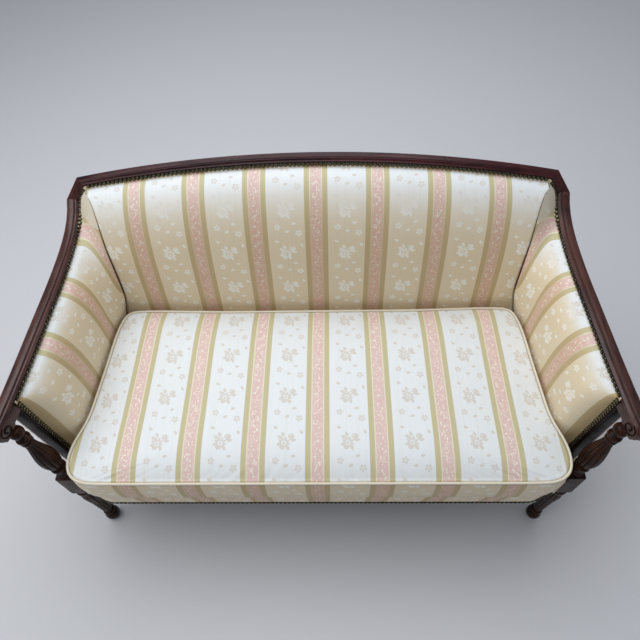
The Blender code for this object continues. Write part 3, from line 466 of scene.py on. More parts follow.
def wood(name, along, dark, light, shine=0.3, gloss=0.26):
    """Polished mahogany with its grain along one axis and wear that shows through."""
    s = Shader(name)
    scale = [1.0, 1.0, 1.0]
    scale["xyz".index(along)] = 0.07
    grain_place = s.stretched(s.place(), scale)
    grain = s.noise(grain_place, 190, 6, 0.62)
    figure = s.noise(grain_place, 34, 3, 0.5)
    pores = s.step(s.noise(grain_place, 900, 2, 0.7), 0.60, 0.72)
    share = s.add(s.mul(grain, 0.55), s.mul(figure, 0.55))
    colour = s.blend(s.step(share, 0.36, 0.74), dark, light)
    hollow = tuple(0.3 * channel for channel in dark)
    colour = s.blend(s.mul(pores, 0.45), colour, hollow)
    wear = s.step(s.noise(s.place(), 22, 4, 0.6), 0.35, 0.75)
    s.set(
        Base_Color=colour,
        Roughness=s.scaled(wear, 0.16, gloss),
        Specular_IOR_Level=shine,
    )
    s.bump(s.add(grain, s.mul(pores, -0.6)), 0.10, 0.0006)
    return s.material


class Flowers:
    """Masks of the woven sprays inside one repeat of the satin band."""

    def __init__(self, shader, across, along):
        self.s = shader
        self.across = across
        self.along = along

    def offset(self, x, y):
        """Distances from a place in the repeat, across and along the stripes."""
        dx = self.s.sub(self.across, x)
        dy = self.s.sub(self.along, y)
        return dx, self.s.math("WRAP", dy, FLOWER_REPEAT / 2, -FLOWER_REPEAT / 2)

    def polar(self, x, y, turn):
        s = self.s
        dx, dy = self.offset(x, y)
        radius = s.math("SQRT", s.add(s.mul(dx, dx), s.mul(dy, dy)))
        return radius, s.add(s.math("ARCTAN2", dy, dx), turn)

    def blossom(self, x, y, size, petals, turn=0.0, deep=0.34):
        """A round flower of separate petals with an open ring at its heart."""
        s = self.s
        radius, angle = self.polar(x, y, turn)
        wave = s.size(s.math("COSINE", s.mul(angle, petals / 2)))
        edge = s.scaled(s.math("POWER", wave, 0.6), size * (1 - deep), size * deep)
        petal = s.step(s.sub(edge, radius), -0.0004, 0.0008)
        ring = s.size(s.sub(radius, size * 0.30))
        heart = s.step(ring, size * 0.05, size * 0.13)
        return s.mul(petal, heart)

    def leaf(self, x, y, length, width, turn):
        """A pointed leaf or petal that starts at its place and runs out at an angle."""
        s = self.s
        dx, dy = self.offset(x, y)
        c, n = math.cos(turn), math.sin(turn)
        run = s.add(s.mul(dx, c / length), s.mul(dy, n / length))
        side = s.sub(s.mul(dy, c / width), s.mul(dx, n / width))
        run = s.sub(s.mul(run, 2.0), 1.0)
        reach = s.add(s.mul(run, run), s.size(side))
        return s.step(s.sub(1.0, reach), -0.05, 0.12)

    def together(self, masks):
        found = masks[0]
        for mask in masks[1:]:
            found = self.s.math("MAXIMUM", found, mask)
        return found


def flower_mask(s, across, along):
    """One bouquet, three blossoms and three sprigs in each repeat, on both bands alike."""
    f = Flowers(s, across, along)
    masks = [
        f.blossom(-0.004, -0.004, 0.0150, 9, 0.2, 0.40),
        f.blossom(0.013, 0.011, 0.0085, 6, 0.9, 0.45),
        f.blossom(0.030, 0.056, 0.0088, 5, 0.3),
        f.blossom(-0.022, 0.072, 0.0084, 5, 1.1),
    ]
    for turn in (0.1, 0.6, 2.0, 2.6, 3.6, 4.2, 5.0):
        x, y = 0.001 + 0.010 * math.cos(turn), 0.001 + 0.010 * math.sin(turn)
        masks.append(f.leaf(x, y, 0.014, 0.0040, turn))
    sprigs = ((-0.026, 0.030, 1.1), (0.018, -0.030, -1.4), (0.003, 0.058, 1.9), (0.034, 0.020, 0.6))
    for x, y, turn in sprigs:
        for spread in (-0.7, 0.0, 0.7):
            masks.append(f.leaf(x, y, 0.0080, 0.0022, turn + spread))
    return f.together(masks)


def damask(name):
    """Satin damask: gold and rose stripes on ivory, with sprays woven in the ivory, and painted light
    where it faces up.
    """
    s = Shader(name)
    uv = s.node("ShaderNodeUVMap", uv_map="cloth").outputs[0]
    split = s.node("ShaderNodeSeparateXYZ")
    s.join(uv, split.inputs[0])
    u, v = split.outputs[0], split.outputs[1]
    phase = s.sub(u, STRIPE_OFFSET)
    from_pink = s.math("WRAP", phase, STRIPE_PITCH / 2, -STRIPE_PITCH / 2)
    aside = s.math("DIVIDE", s.size(from_pink), STRIPE_PITCH)

    def past(edge):
        return s.step(aside, edge - EDGE_BLUR, edge + EDGE_BLUR)

    # Threads run along the stripes, and picks across them
    thread_place = s.stretched(uv, (1.0, 0.012, 1.0))
    threads = s.noise(thread_place, 900, 2, 0.6)
    streaks = s.noise(thread_place, 160, 3, 0.6)
    weave = s.waves(uv, 420, "X")

    # Painted light: where the satin faces up, the ivory ground is painted cooler and lighter, as if lit
    # by the sky above
    normal = s.node("ShaderNodeSeparateXYZ")
    s.join(s.node("ShaderNodeNewGeometry").outputs["Normal"], normal.inputs[0])
    painted_light_facing_up = s.step(normal.outputs[2], 0.25, 0.97)
    beige = (0.83, 0.70, 0.485)
    ivory = (0.74, 0.765, 0.765)
    ground = s.blend(painted_light_facing_up, beige, ivory)
    ground = s.blend(s.mul(s.step(streaks, 0.42, 0.72), 0.22), ground, (0.66, 0.62, 0.52))
    across = s.math("WRAP", s.add(phase, STRIPE_PITCH / 2), STRIPE_PITCH / 2, -STRIPE_PITCH / 2)
    flowers = flower_mask(s, across, v)
    grainy = s.step(s.noise(uv, 520, 2, 0.5), 0.30, 0.62)
    flowers = s.mul(flowers, s.scaled(grainy, 0.40, 0.60))
    # Painted light: the sprays are painted paler than the ground on upright faces and darker than it
    # where the satin faces up
    petal = s.blend(painted_light_facing_up, (0.97, 0.95, 0.87), (0.63, 0.575, 0.50))
    satin = s.blend(flowers, ground, petal)

    # Painted light: the rose is painted cooler and paler where the satin faces up
    rose_low = (0.72, 0.475, 0.345)
    rose_painted_light_up = (0.69, 0.50, 0.45)
    rose = s.blend(painted_light_facing_up, rose_low, rose_painted_light_up)
    vine = s.voronoi(s.stretched(uv, (1.0, 0.7, 1.0)), 230)
    speckle = s.step(vine, 0.50, 0.34)
    sway = s.mul(s.math("SINE", s.mul(v, 2 * math.pi / 0.026)), 0.0055)
    stem = s.size(s.sub(from_pink, sway))
    near_stem = s.step(stem, 0.0065, 0.0025)
    woven = s.mul(speckle, s.scaled(near_stem, 0.60, 0.32))
    pink = s.blend(woven, rose, (0.84, 0.76, 0.64))

    # Painted light: the gold is painted cooler where the satin faces up
    gold_low = (0.57, 0.42, 0.215)
    gold_painted_light_up = (0.52, 0.465, 0.27)
    gold = s.blend(painted_light_facing_up, gold_low, gold_painted_light_up)
    gold = s.blend(s.mul(threads, 0.25), gold, (0.62, 0.56, 0.34))
    # Painted light: the pale line is painted lighter and cooler where the satin faces up
    line = s.blend(painted_light_facing_up, (0.66, 0.54, 0.34), (0.74, 0.70, 0.52))

    colour = s.blend(past(PINK_END), pink, line)
    colour = s.blend(past(LINE_END), colour, gold)
    in_satin = past(GOLD_END)
    colour = s.blend(in_satin, colour, satin)
    smooth = s.mul(in_satin, s.sub(1.0, flowers))
    s.set(
        Base_Color=colour,
        Roughness=s.scaled(smooth, -0.16, 0.62),
        Specular_IOR_Level=0.45,
        Sheen_Weight=0.12,
        Sheen_Roughness=0.4,
    )
    height = s.add(s.mul(threads, 0.6), s.mul(weave, 0.35))
    height = s.add(height, s.mul(s.mul(flowers, in_satin), 0.8))
    height = s.add(height, s.mul(woven, s.sub(0.6, past(PINK_END))))
    s.bump(height, 0.30, 0.0006)
    return s.material


def plain_cloth(name, dark, light, threads_per_metre, roughness=0.85, bump=0.3):
    s = Shader(name)
    place = s.place()
    wave = [s.waves(place, threads_per_metre / 20, direction) for direction in "XYZ"]
    weave = s.mul(s.add(wave[0], s.add(wave[1], wave[2])), 0.33)
    cloud = s.noise(place, 60, 3, 0.6)
    share = s.scaled(cloud, 0.5, s.mul(weave, 0.5))
    s.set(Base_Color=s.blend(share, dark, light), Roughness=roughness, Sheen_Weight=0.1)
    s.bump(weave, bump, 0.0006)
    return s.material


def cord_cloth(name):
    """Ivory cloth sewn over a cord, with slanting threads."""
    s = Shader(name)
    place = s.place()
    slant = s.noise(s.stretched(place, (1.0, 1.0, 0.4)), 700, 2, 0.6)
    cloud = s.noise(place, 30, 2, 0.5)
    colour = s.blend(slant, (0.62, 0.55, 0.41), (0.80, 0.75, 0.62))
    colour = s.blend(s.mul(s.step(cloud, 0.4, 0.7), 0.2), colour, (0.70, 0.60, 0.42))
    s.set(Base_Color=colour, Roughness=0.55, Sheen_Weight=0.15)
    s.bump(slant, 0.25, 0.0005)
    return s.material


def nail_brass():
    """Antique brass: worn on the dome, nearly black in the hollows round the rim."""
    s = Shader("antique_brass")
    patina = s.step(s.noise(s.place(), 240, 4, 0.65), 0.36, 0.66)
    dome = s.node("ShaderNodeAttribute", attribute_name="dome").outputs["Fac"]
    worn = s.mul(s.step(dome, 0.45, 1.0), s.scaled(patina, -0.60, 1.0))
    colour = s.blend(worn, (0.016, 0.014, 0.009), (0.22, 0.19, 0.11))
    s.set(Base_Color=colour, Metallic=0.9, Roughness=s.scaled(patina, 0.20, 0.30))
    s.bump(patina, 0.15, 0.0004)
    return s.material


def steel():
    s = Shader("spring_steel")
    rust = s.step(s.noise(s.place(), 90, 4, 0.6), 0.5, 0.7)
    s.set(
        Base_Color=s.blend(rust, (0.30, 0.30, 0.31), (0.16, 0.11, 0.08)),
        Metallic=0.85,
        Roughness=s.scaled(rust, 0.3, 0.32),
    )
    return s.material


def rough_wood():
    s = Shader("frame_wood")
    grain_place = s.stretched(s.place(), (0.15, 0.15, 1.0))
    grain = s.noise(grain_place, 120, 5, 0.6)
    s.set(Base_Color=s.blend(grain, (0.26, 0.16, 0.08), (0.52, 0.38, 0.22)), Roughness=0.75)
    s.bump(grain, 0.25, 0.0008)
    return s.material


CREST_WOOD = wood("mahogany_crest", "x", (0.012, 0.0036, 0.0042), (0.066, 0.016, 0.017), 0.22)
CANT_WOOD = wood("mahogany_cant", "z", (0.026, 0.007, 0.0065), (0.095, 0.028, 0.022), 0.26)
ARM_WOOD = wood("mahogany_arm", "y", (0.020, 0.0066, 0.0060), (0.090, 0.031, 0.022), 0.40)
LEG_WOOD = wood("mahogany_turned", "z", (0.0070, 0.0024, 0.0014), (0.046, 0.0135, 0.0060), 0.16, 0.28)
# Nearly black wood with painted shade: on the uprights partly their own dark tone and partly painted
# shade, on the volutes the shade of a carved groove
DARK_WOOD_PAINTED_SHADE = wood("mahogany_dark_painted_shade", "z", (0.0030, 0.0015, 0.0014), (0.010, 0.0042, 0.0034), 0.12, 0.36)
CLOTH_LOOK = damask("damask")
WELT_LOOK = cord_cloth("welt_cord")
BRASS = nail_brass()
JUTE = plain_cloth("jute", (0.22, 0.15, 0.07), (0.52, 0.40, 0.24), 900, 0.9, 0.6)
CAMBRIC = plain_cloth("cambric", (0.012, 0.012, 0.013), (0.035, 0.035, 0.036), 1400, 0.95, 0.3)
DECKING = plain_cloth("decking", (0.56, 0.50, 0.38), (0.70, 0.64, 0.50), 1600, 0.85, 0.3)
STEEL = steel()
FRAME_WOOD = rough_wood()


# Mesh helpers

def show(name, data):
    """Puts a mesh, lamp or camera into the scene under its name."""
    made = bpy.data.objects.new(name, data)
    bpy.context.scene.collection.objects.link(made)
    return made


def mesh_of(name, bm):
    mesh = bpy.data.meshes.new(name)
    bm.to_mesh(mesh)
    bm.free()
    return mesh


def make_object(name, bm, look, body, replaces=(), smooth_angle=60):
    bmesh.ops.recalc_face_normals(bm, faces=bm.faces[:])
    mesh = mesh_of(name, bm)
    mesh.materials.append(look)
    mesh.shade_smooth()
    mesh.set_sharp_from_angle(angle=math.radians(smooth_angle))
    made = show(name, mesh)
    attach(made, body)
    if replaces:
        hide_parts(*replaces)
    return made


def bridge(bm, low, high):
    """Faces between two closed rings that have as many points."""
    count = len(low)
    for k in range(count):
        m = (k + 1) % count
        bm.faces.new((low[k], low[m], high[m], high[k]))


def circle(segments):
    """Cosine and sine at even steps round a circle."""
    angles = [2 * math.pi * k / segments for k in range(segments)]
    return [(math.cos(angle), math.sin(angle)) for angle in angles]


def cloth_body(name, front, back, uv, replaces, look):
    """A closed body between two grids, with the cloth's own coordinates on both."""
    bm = bmesh.new()
    layer = bm.loops.layers.uv.new("cloth")
    near, far = [[[bm.verts.new(p) for p in row] for row in grid] for grid in (front, back)]
    rows, columns = len(front), len(front[0])
    at = {}
    for grid in (near, far):
        for verts, coords in zip(grid, uv):
            at.update(zip(verts, coords))
    quads = []
    for i in range(rows - 1):
        for j in range(columns - 1):
            for grid in (near, far):
                quads.append((grid[i][j], grid[i][j + 1], grid[i + 1][j + 1], grid[i + 1][j]))
    for j in range(columns - 1):
        for i in (0, rows - 1):
            quads.append((near[i][j], near[i][j + 1], far[i][j + 1], far[i][j]))
    for i in range(rows - 1):
        for j in (0, columns - 1):
            quads.append((near[i][j], near[i + 1][j], far[i + 1][j], far[i][j]))
    for quad in quads:
        face = bm.faces.new(quad)
        for loop in face.loops:
            loop[layer].uv = at[loop.vert]
    return make_object(name, bm, look, "frame", replaces, 50)


def lengths_down(rows):
    """Running length along each column of a grid of points, from its first row."""
    found = [[0.0] * len(rows[0])]
    for i in range(1, len(rows)):
        found.append([
            length + (here - before).length
            for length, here, before in zip(found[-1], rows[i], rows[i - 1])
        ])
    return found


def tube(name, path, radius, look, body, closed=True, corners=10, replaces=()):
    bm = bmesh.new()
    rings = []
    count = len(path)
    for i, here in enumerate(path):
        after = path[(i + 1) % count] if closed or i + 1 < count else here
        before = path[i - 1] if closed or i else here
        along = (after - before).normalized()
        out = along.cross(Vector((0, 0, 1)))
        out = out.normalized() if out.length > 1e-6 else Vector((1, 0, 0))
        up = out.cross(along)
        around = [out * c + up * n for c, n in circle(corners)]
        rings.append([bm.verts.new(here + radius * way) for way in around])
    for low, high in zip(rings, rings[1:]):
        bridge(bm, low, high)
    if closed:
        bridge(bm, rings[-1], rings[0])
    else:
        bm.faces.new(rings[0])
        bm.faces.new(rings[-1])
    return make_object(name, bm, look, body, replaces)


# Show-wood that stays as its solids, with eased edges and smooth mouldings

WOOD_EASE = 0.0006
WOOD_SHARP = 38


def dress_node(node, look, ease):
    """Gives a solid its look, and eases its edges by a width."""
    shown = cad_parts[node]
    shown.data.materials.clear()
    shown.data.materials.append(look)
    held = shown.data.attributes.get("custom_normal")
    if held is not None:
        shown.data.attributes.remove(held)
    shown.data.shade_smooth()
    weld = shown.modifiers.new("Weld", "WELD")
    weld.merge_threshold = 1e-5
    if ease:
        bevel = shown.modifiers.new("Ease", "BEVEL")
        bevel.width = ease
        bevel.segments = 2
        bevel.limit_method = "ANGLE"
        bevel.angle_limit = math.radians(WOOD_SHARP)
    split = shown.modifiers.new("Split", "EDGE_SPLIT")
    split.split_angle = math.radians(WOOD_SHARP)


def dress_all_nodes():
    looks = {
        "arm_rail": ARM_WOOD,
        "arm_upright": DARK_WOOD_PAINTED_SHADE,
        "back_leg": LEG_WOOD,
        "spring_burlap": JUTE,
        "back_webbing": JUTE,
        "dust_cover": CAMBRIC,
        "seat_spring": STEEL,
    }
    rebuilt = (
        "inside", "outside", "seat_cushion", "cushion_welt", "front_rail_cover", "seat_deck",
        "crest_rail", "corner_block", "baluster", "front_leg",
    )
    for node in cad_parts:
        if node.startswith(rebuilt):
            continue
        look = next((look for key, look in looks.items() if node.startswith(key)), FRAME_WOOD)
        dress_node(node, look, 0.0 if look in (JUTE, CAMBRIC, STEEL) else WOOD_EASE)


def crest_ring(x):
    """Plane section of the crest at x; its face runs in towards the mitres at the ends."""
    down = Vector((0, -BACK_SLOPE, -1))
    tilt = 2 * CREST_SHOWN_ARCH * x / CREST_HALF ** 2
    inward = Vector((1, -BACK_SLOPE * tilt, -tilt)) * (-MITRE_RUN * x / CREST_HALF)
    inward.y -= CREST_FACE - BACK_SLOPE * CREST_FACE_DROP
    top = crest_shown(x)
    corner = point(x, CREST_LINE - BACK_SLOPE * (OVERALL_HEIGHT - top), top)
    ring = [
        corner + inward * share + down * (CREST_SHOWN_FALL * share + depth)
        for share, depth in MOULDING
    ]
    under = down * (CREST_HEIGHT - OVERALL_HEIGHT + CREST_SHOWN_HEIGHT)
    ring.append(corner + inward + under)
    ring.append(corner + under)
    return ring


def loft(name, rings, look, replaces):
    bm = bmesh.new()
    made = [[bm.verts.new(p) for p in ring] for ring in rings]
    for low, high in zip(made, made[1:]):
        bridge(bm, low, high)
    bm.faces.new(made[0])
    bm.faces.new(made[-1])
    return make_object(name, bm, look, "frame", replaces, 42)


def make_crest():
    stations = 64
    rings = [crest_ring(mix(-CREST_HALF, CREST_HALF, i / stations)) for i in range(stations + 1)]
    loft("moulded_crest", rings, CREST_WOOD, ("crest_rail",))
    outer, inner, top = arm_outer_edge(ARM_JOINT), arm_inner_edge(ARM_JOINT), arm_top(ARM_JOINT)
    at = ARM_JOINT + GAP
    for label, side in SIDES:
        lower = [point(side * mix(outer, inner, share), at, top - depth) for share, depth in MOULDING]
        lower += [point(side * x, at, top - ARM_THICKNESS) for x in (inner, outer)]
        upper = crest_ring(side * CREST_HALF)
        loft(f"canted_corner_{label}", [upper, lower], CANT_WOOD, (f"corner_block_{label}",))


# Turned work

def reeded(radius, depth):
    """Radius round a turning that is cut into reeds."""
    return lambda angle: radius - depth * (1 - abs(math.cos(REEDS * angle / 2)) ** 0.55)


def squared(reach):
    """Radius round a square block with small flats on its corners."""
    def at(angle):
        c, n = abs(math.cos(angle)), abs(math.sin(angle))
        return reach / max(c, n) - 0.0012 * max(0.0, 1 - abs(c - n) * 9)
    return at


def turned(name, side, profile, replaces, lean=(0.0, 0.0), square=None):
    """A turning of (z, radius, reed depth) stations about an axis that may lean.

    A square block of (bottom, top, half width) may follow on top of it.
    """
    segments = 120
    bm = bmesh.new()
    rings = []
    low, high = profile[0][0], profile[-1][0]
    span = max(high - low, 1e-6)

    def add(z, radius_at, tilt):
        share = clamp((z - low) / span, 0, 1)
        x = LEG_X + lean[0] * share
        distance = LEG_SETBACK + lean[1] * share
        ring = []
        for k in range(segments):
            angle = 2 * math.pi * k / segments
            r = radius_at(angle)
            out, back = r * math.cos(angle), r * math.sin(angle)
            drop = tilt * (out * lean[0] + back * lean[1]) / span
            ring.append(bm.verts.new(point(side * (x + out), distance + back, z - drop)))
        rings.append(ring)

    for i, (z, radius, depth) in enumerate(profile):
        add(z, reeded(radius, depth), 0.0 if i in (0, len(profile) - 1) else 1.0)
    if square:
        bottom, top, half = square
        inset = half - BLOCK_EASE
        add(bottom, squared(inset), 0.0)
        add(bottom + BLOCK_EASE, squared(half), 0.0)
        add(top - BLOCK_EASE, squared(half), 0.0)
        add(top, squared(inset), 0.0)
    for low_ring, high_ring in zip(rings, rings[1:]):
        bridge(bm, low_ring, high_ring)
    bm.faces.new(rings[0])
    bm.faces.new(rings[-1])
    return make_object(name, bm, LEG_WOOD, "frame", replaces, 32)


def eased(stations, steps=6):
    """Rounds a list of (z, radius, depth) with a smooth curve between its stations."""
    found = []
    for (z0, r0, d0), (z1, r1, d1) in zip(stations, stations[1:]):
        for k in range(steps):
            t = k / steps
            w = smooth_step(t)
            found.append((mix(z0, z1, t), mix(r0, r1, w), mix(d0, d1, w)))
    found.append(stations[-1])
    return found


def curved(stations, steps=24):
    """A vase through (z, radius, depth) stations, as one smooth curve."""
    spots = np.array(stations)
    z = np.linspace(spots[0, 0], spots[-1, 0], steps)
    slopes = np.gradient(spots[:, 1], spots[:, 0])
    radius = []
    for value in z:
        i = int(np.clip(np.searchsorted(spots[:, 0], value) - 1, 0, len(spots) - 2))
        width = spots[i + 1, 0] - spots[i, 0]
        t = (value - spots[i, 0]) / width
        radius.append(
            (2 * t ** 3 - 3 * t ** 2 + 1) * spots[i, 1]
            + (t ** 3 - 2 * t ** 2 + t) * width * slopes[i]
            + (3 * t ** 2 - 2 * t ** 3) * spots[i + 1, 1]
            + (t ** 3 - t ** 2) * width * slopes[i + 1]
        )
    depth = np.interp(z, spots[:, 0], spots[:, 2])
    return [(float(a), float(b), float(c)) for a, b, c in zip(z, radius, depth)]


def bead(z0, z1, inner, outer, steps=9):
    """A half-round bead between two heights."""
    found = []
    for k in range(steps + 1):
        angle = math.pi * k / steps
        z = mix(z0, z1, (1 - math.cos(angle)) / 2)
        found.append((z, inner + (outer - inner) * math.sin(angle) ** 0.8, 0.0))
    return found


def make_balusters():
    low = BLOCK_TOP + GAP
    span = SCROLL_SEAT - GAP - low
    neck, belly = BALUSTER_NECK_RADIUS, BALUSTER_BELLY_RADIUS
    ring, ball = BALUSTER_RING_RADIUS, BALUSTER_BALL_RADIUS

    def z(share):
        return low + share * span

    profile = bead(z(0.0), z(0.040), 0.80 * ring, 0.90 * ring)
    profile += eased([
        (z(0.045), 0.74 * ring, 0.0),
        (z(0.080), 0.68 * ring, 0.0),
        (z(0.118), 0.76 * ring, 0.0),
    ], 5)
    profile += bead(z(0.122), z(0.178), 0.80 * ring, ring)
    profile += [(z(0.184), 0.78 * ring, 0.0)]
    profile += curved([
        (z(0.190), 0.80 * ring, 0.0),
        (z(0.215), 0.96 * ring, REED_DEPTH),
        (z(0.280), 0.93 * belly, REED_DEPTH),
        (z(0.360), belly, REED_DEPTH),
        (z(0.450), 0.95 * belly, REED_DEPTH),
        (z(0.560), 0.77 * belly, REED_DEPTH),
        (z(0.660), 1.10 * neck, REED_DEPTH),
        (z(0.720), neck, REED_DEPTH * 0.8),
        (z(0.732), 0.98 * neck, 0.0),
    ], 44)
    profile += bead(z(0.737), z(0.780), 0.98 * neck, 1.18 * neck)
    profile += [(z(0.786), 0.95 * neck, 0.0)]
    profile += bead(z(0.792), z(0.850), 0.98 * neck, 1.32 * neck)
    profile += [(z(0.857), 0.96 * neck, 0.0)]
    balls = 14
    for k in range(balls):
        t = k / (balls - 1)
        angle = math.pi * (0.14 + 0.68 * t)
        profile.append((z(mix(0.865, 1.0, t)), ball * math.sin(angle) ** 0.7, 0.0))
    lean = (BALUSTER_LEAN_OUT, BALUSTER_LEAN_BACK)
    for label, side in SIDES:
        turned(f"turned_baluster_{label}", side, profile, (f"baluster_{label}",), lean)


def make_legs():
    top, ankle, height = LEG_TOP_RADIUS, LEG_ANKLE_RADIUS, FOOT_HEIGHT
    span = RAIL_BOTTOM - height

    def z(share):
        return height + share * span

    profile = []
    for k in range(15):
        t = k / 14
        swelling = (FOOT_RADIUS - ankle) * math.sin(math.pi * t) ** 0.75
        profile.append((height * t, mix(FOOT_PAD_RADIUS, ankle, t) + swelling, 0.0))
    profile += bead(z(0.020), z(0.068), ankle, 1.32 * ankle)
    profile += curved([
        (z(0.075), ankle, 0.0),
        (z(0.11), 1.04 * ankle, REED_DEPTH),
        (z(0.48), 0.82 * top, REED_DEPTH),
        (z(0.82), top, REED_DEPTH),
        (z(0.87), 0.93 * top, 0.0),
    ], 30)
    profile += bead(z(0.885), z(0.955), 0.95 * top, 1.08 * top)
    profile += [(z(0.965), 0.90 * top, 0.0), (RAIL_BOTTOM - 0.0005, 0.93 * top, 0.0)]
    block = (RAIL_BOTTOM, BLOCK_TOP, BLOCK_HALF)
    for label, side in SIDES:
        turned(f"turned_leg_{label}", side, profile, (f"front_leg_{label}",), square=block)


# Upholstery of the back and the arms

def back_surface(u, v):
    """Point of the inside back, u from -1 to 1 across and v from 0 to 1 upwards."""
    reach = seam_x(v)
    z = mix(PAD_BOTTOM, crest_edge(u * CORNER_X), v)
    depth = back_pad_depth(u, v) - tuck((1 - abs(u)) * reach, v)
    return Vector((u * reach, y_at(back_pad_rear(z) - depth), z))


def pad_rows(count):
    return [math.sin(i / count * math.pi / 2) for i in range(count + 1)]


def make_back():
    rows = pad_rows(48)
    columns = 130
    across = []
    for j in range(columns + 1):
        s = 1 - 2 * j / columns
        across.append(mix(s, math.sin(s * math.pi / 2), 0.8))
    front, back = [], []
    for v in rows:
        rear_x = seam_x(v) + 0.35 * ARM_PAD_FOOT * (1 - v)
        line = [back_surface(u, v) for u in across]
        front.append(line)
        back.append([Vector((u * rear_x, y_at(back_pad_rear(p.z)), p.z)) for u, p in zip(across, line)])
    up = lengths_down(front)
    middle = columns // 2
    heights = [row[middle].z for row in front]
    zero = float(np.interp(BACK_FLOWER_Z, heights, [row[middle] for row in up]))
    uv = [[(p.x, length - zero) for p, length in zip(line, row)] for line, row in zip(front, up)]
    made = cloth_body("back_upholstery", front, back, uv, ("inside_back",), CLOTH_LOOK)


def arm_points(t, v, side):
    """Points of an inside arm on its cloth and on the wood behind it.

    t runs from 0 at the upright to 1 at the seam, and v upwards.
    """
    end = seam_at(v)
    along = min(1.0, t / CANT_SHARE)
    cant = max(0.0, (t - CANT_SHARE) / (1 - CANT_SHARE)) * v ** EDGE_POWER
    share = mix(t, along, v ** ROW_POWER)
    at = mix(PAD_START, end, share)
    climb = max(0.0, (share - CLIMB_FROM) / (1 - CLIMB_FROM)) ** CLIMB_POWER
    climb = cant + climb * (1 - v ** EDGE_POWER)
    level = mix(PAD_BOTTOM, arm_pad_edge(at), v)
    rise = v * (CORNER_Z - arm_pad_edge(end))
    z = level + rise * climb
    plane = arm_plane(at, z) - GAP
    reach = clamp((at - PAD_START - STRIP_WIDTH) / ARM_PAD_NOSE, 0, 1)
    full = plane - arm_pad_inner(at, z, v)
    depth = mix(STRIP_DEPTH, full, math.sqrt(1 - (1 - reach) ** 2))
    depth -= corner_pull(v) * climb
    depth -= tuck((1 - t) * (end - PAD_START), v)
    rear_z = level + rise * cant
    rear_x = max(arm_plane(at, rear_z) - GAP + corner_pull(v) * cant, plane - depth + 0.001)
    front = Vector((side * (plane - depth), y_at(at), z))
    return front, Vector((side * rear_x, y_at(at), rear_z))


def arm_surface(t, v, side):
    return arm_points(t, v, side)[0]


def stripe_shift(t, v):
    """How far the cover's stripes are drawn along the arm by its fitting at the corner."""
    at_seam = smooth_step((t - 0.68) / 0.32) * smooth_step((v - 0.1) / 0.5) * (1 - v ** SHIFT_POWER)
    at_nails = smooth_step((t - 0.76) / 0.10) * v ** SHIFT_POWER
    return SEAM_SHIFT * at_seam - NAIL_SHIFT * at_nails


def arm_columns():
    """Shares of an arm's length, closer together on its nose and on the canted corner."""
    nose_end = 0.25
    nose = [nose_end * (j / 22) ** 1.6 for j in range(22)]
    middle = [mix(nose_end, CANT_SHARE, j / 40) for j in range(40)]
    cant = [mix(CANT_SHARE, 1.0, j / 14) for j in range(15)]
    return nose + middle + cant


def make_arm_upholstery(label, side):
    rows = pad_rows(44)
    shares = arm_columns()
    front, back = [], []
    for v in rows:
        line = [arm_points(t, v, side) for t in shares]
        front.append([p for p, _ in line])
        back.append([p for _, p in line])
    up = lengths_down(front)
    uv = []
    for v, line, row in zip(rows, front, up):
        coords = []
        for t, p, length in zip(shares, line, row):
            y = p.y + stripe_shift(t, v) - ARM_STRIPE_Y
            coords.append((STRIPE_OFFSET + ARM_CLOTH_SCALE * y, length - ARM_FLOWER_UP))
        uv.append(coords)
    made = cloth_body(f"arm_upholstery_{label}", front, back, uv, (f"inside_arm_{label}",), CLOTH_LOOK)


# The loose cushion, from the line of its own welt

def welt_line(count):
    """Centre line of the welt, read from the middle of its solid by casting rays at it."""
    low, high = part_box("cushion_welt")
    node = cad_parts["cushion_welt"]
    z = (low.z + high.z) / 2
    centre = Vector((0, mix(low.y, high.y, 0.42), z))
    inner = []
    rays = 2400
    for k in range(rays):
        angle = 2 * math.pi * k / rays
        direction = Vector((math.sin(angle), -math.cos(angle), 0))
        hit = node.ray_cast(centre, direction)
        if hit[0]:
            inner.append(hit[1])
    total = [0.0]
    for a, b in zip(inner, inner[1:] + inner[:1]):
        total.append(total[-1] + (b - a).length)
    spots = np.linspace(0, total[-1], count, endpoint=False)
    coords = np.array([list(p) for p in inner + inner[:1]])
    flat = np.array([np.interp(spots, total, coords[:, axis]) for axis in range(2)]).T
    smoothings = 6
    for _ in range(smoothings):
        flat = 0.5 * flat + 0.25 * (np.roll(flat, 1, axis=0) + np.roll(flat, -1, axis=0))
    along = np.roll(flat, -1, axis=0) - np.roll(flat, 1, axis=0)
    along /= np.linalg.norm(along, axis=1)[:, None]
    out = np.stack([along[:, 1], -along[:, 0]], axis=1)
    return flat + out * WELT_RADIUS * 0.9, out, z


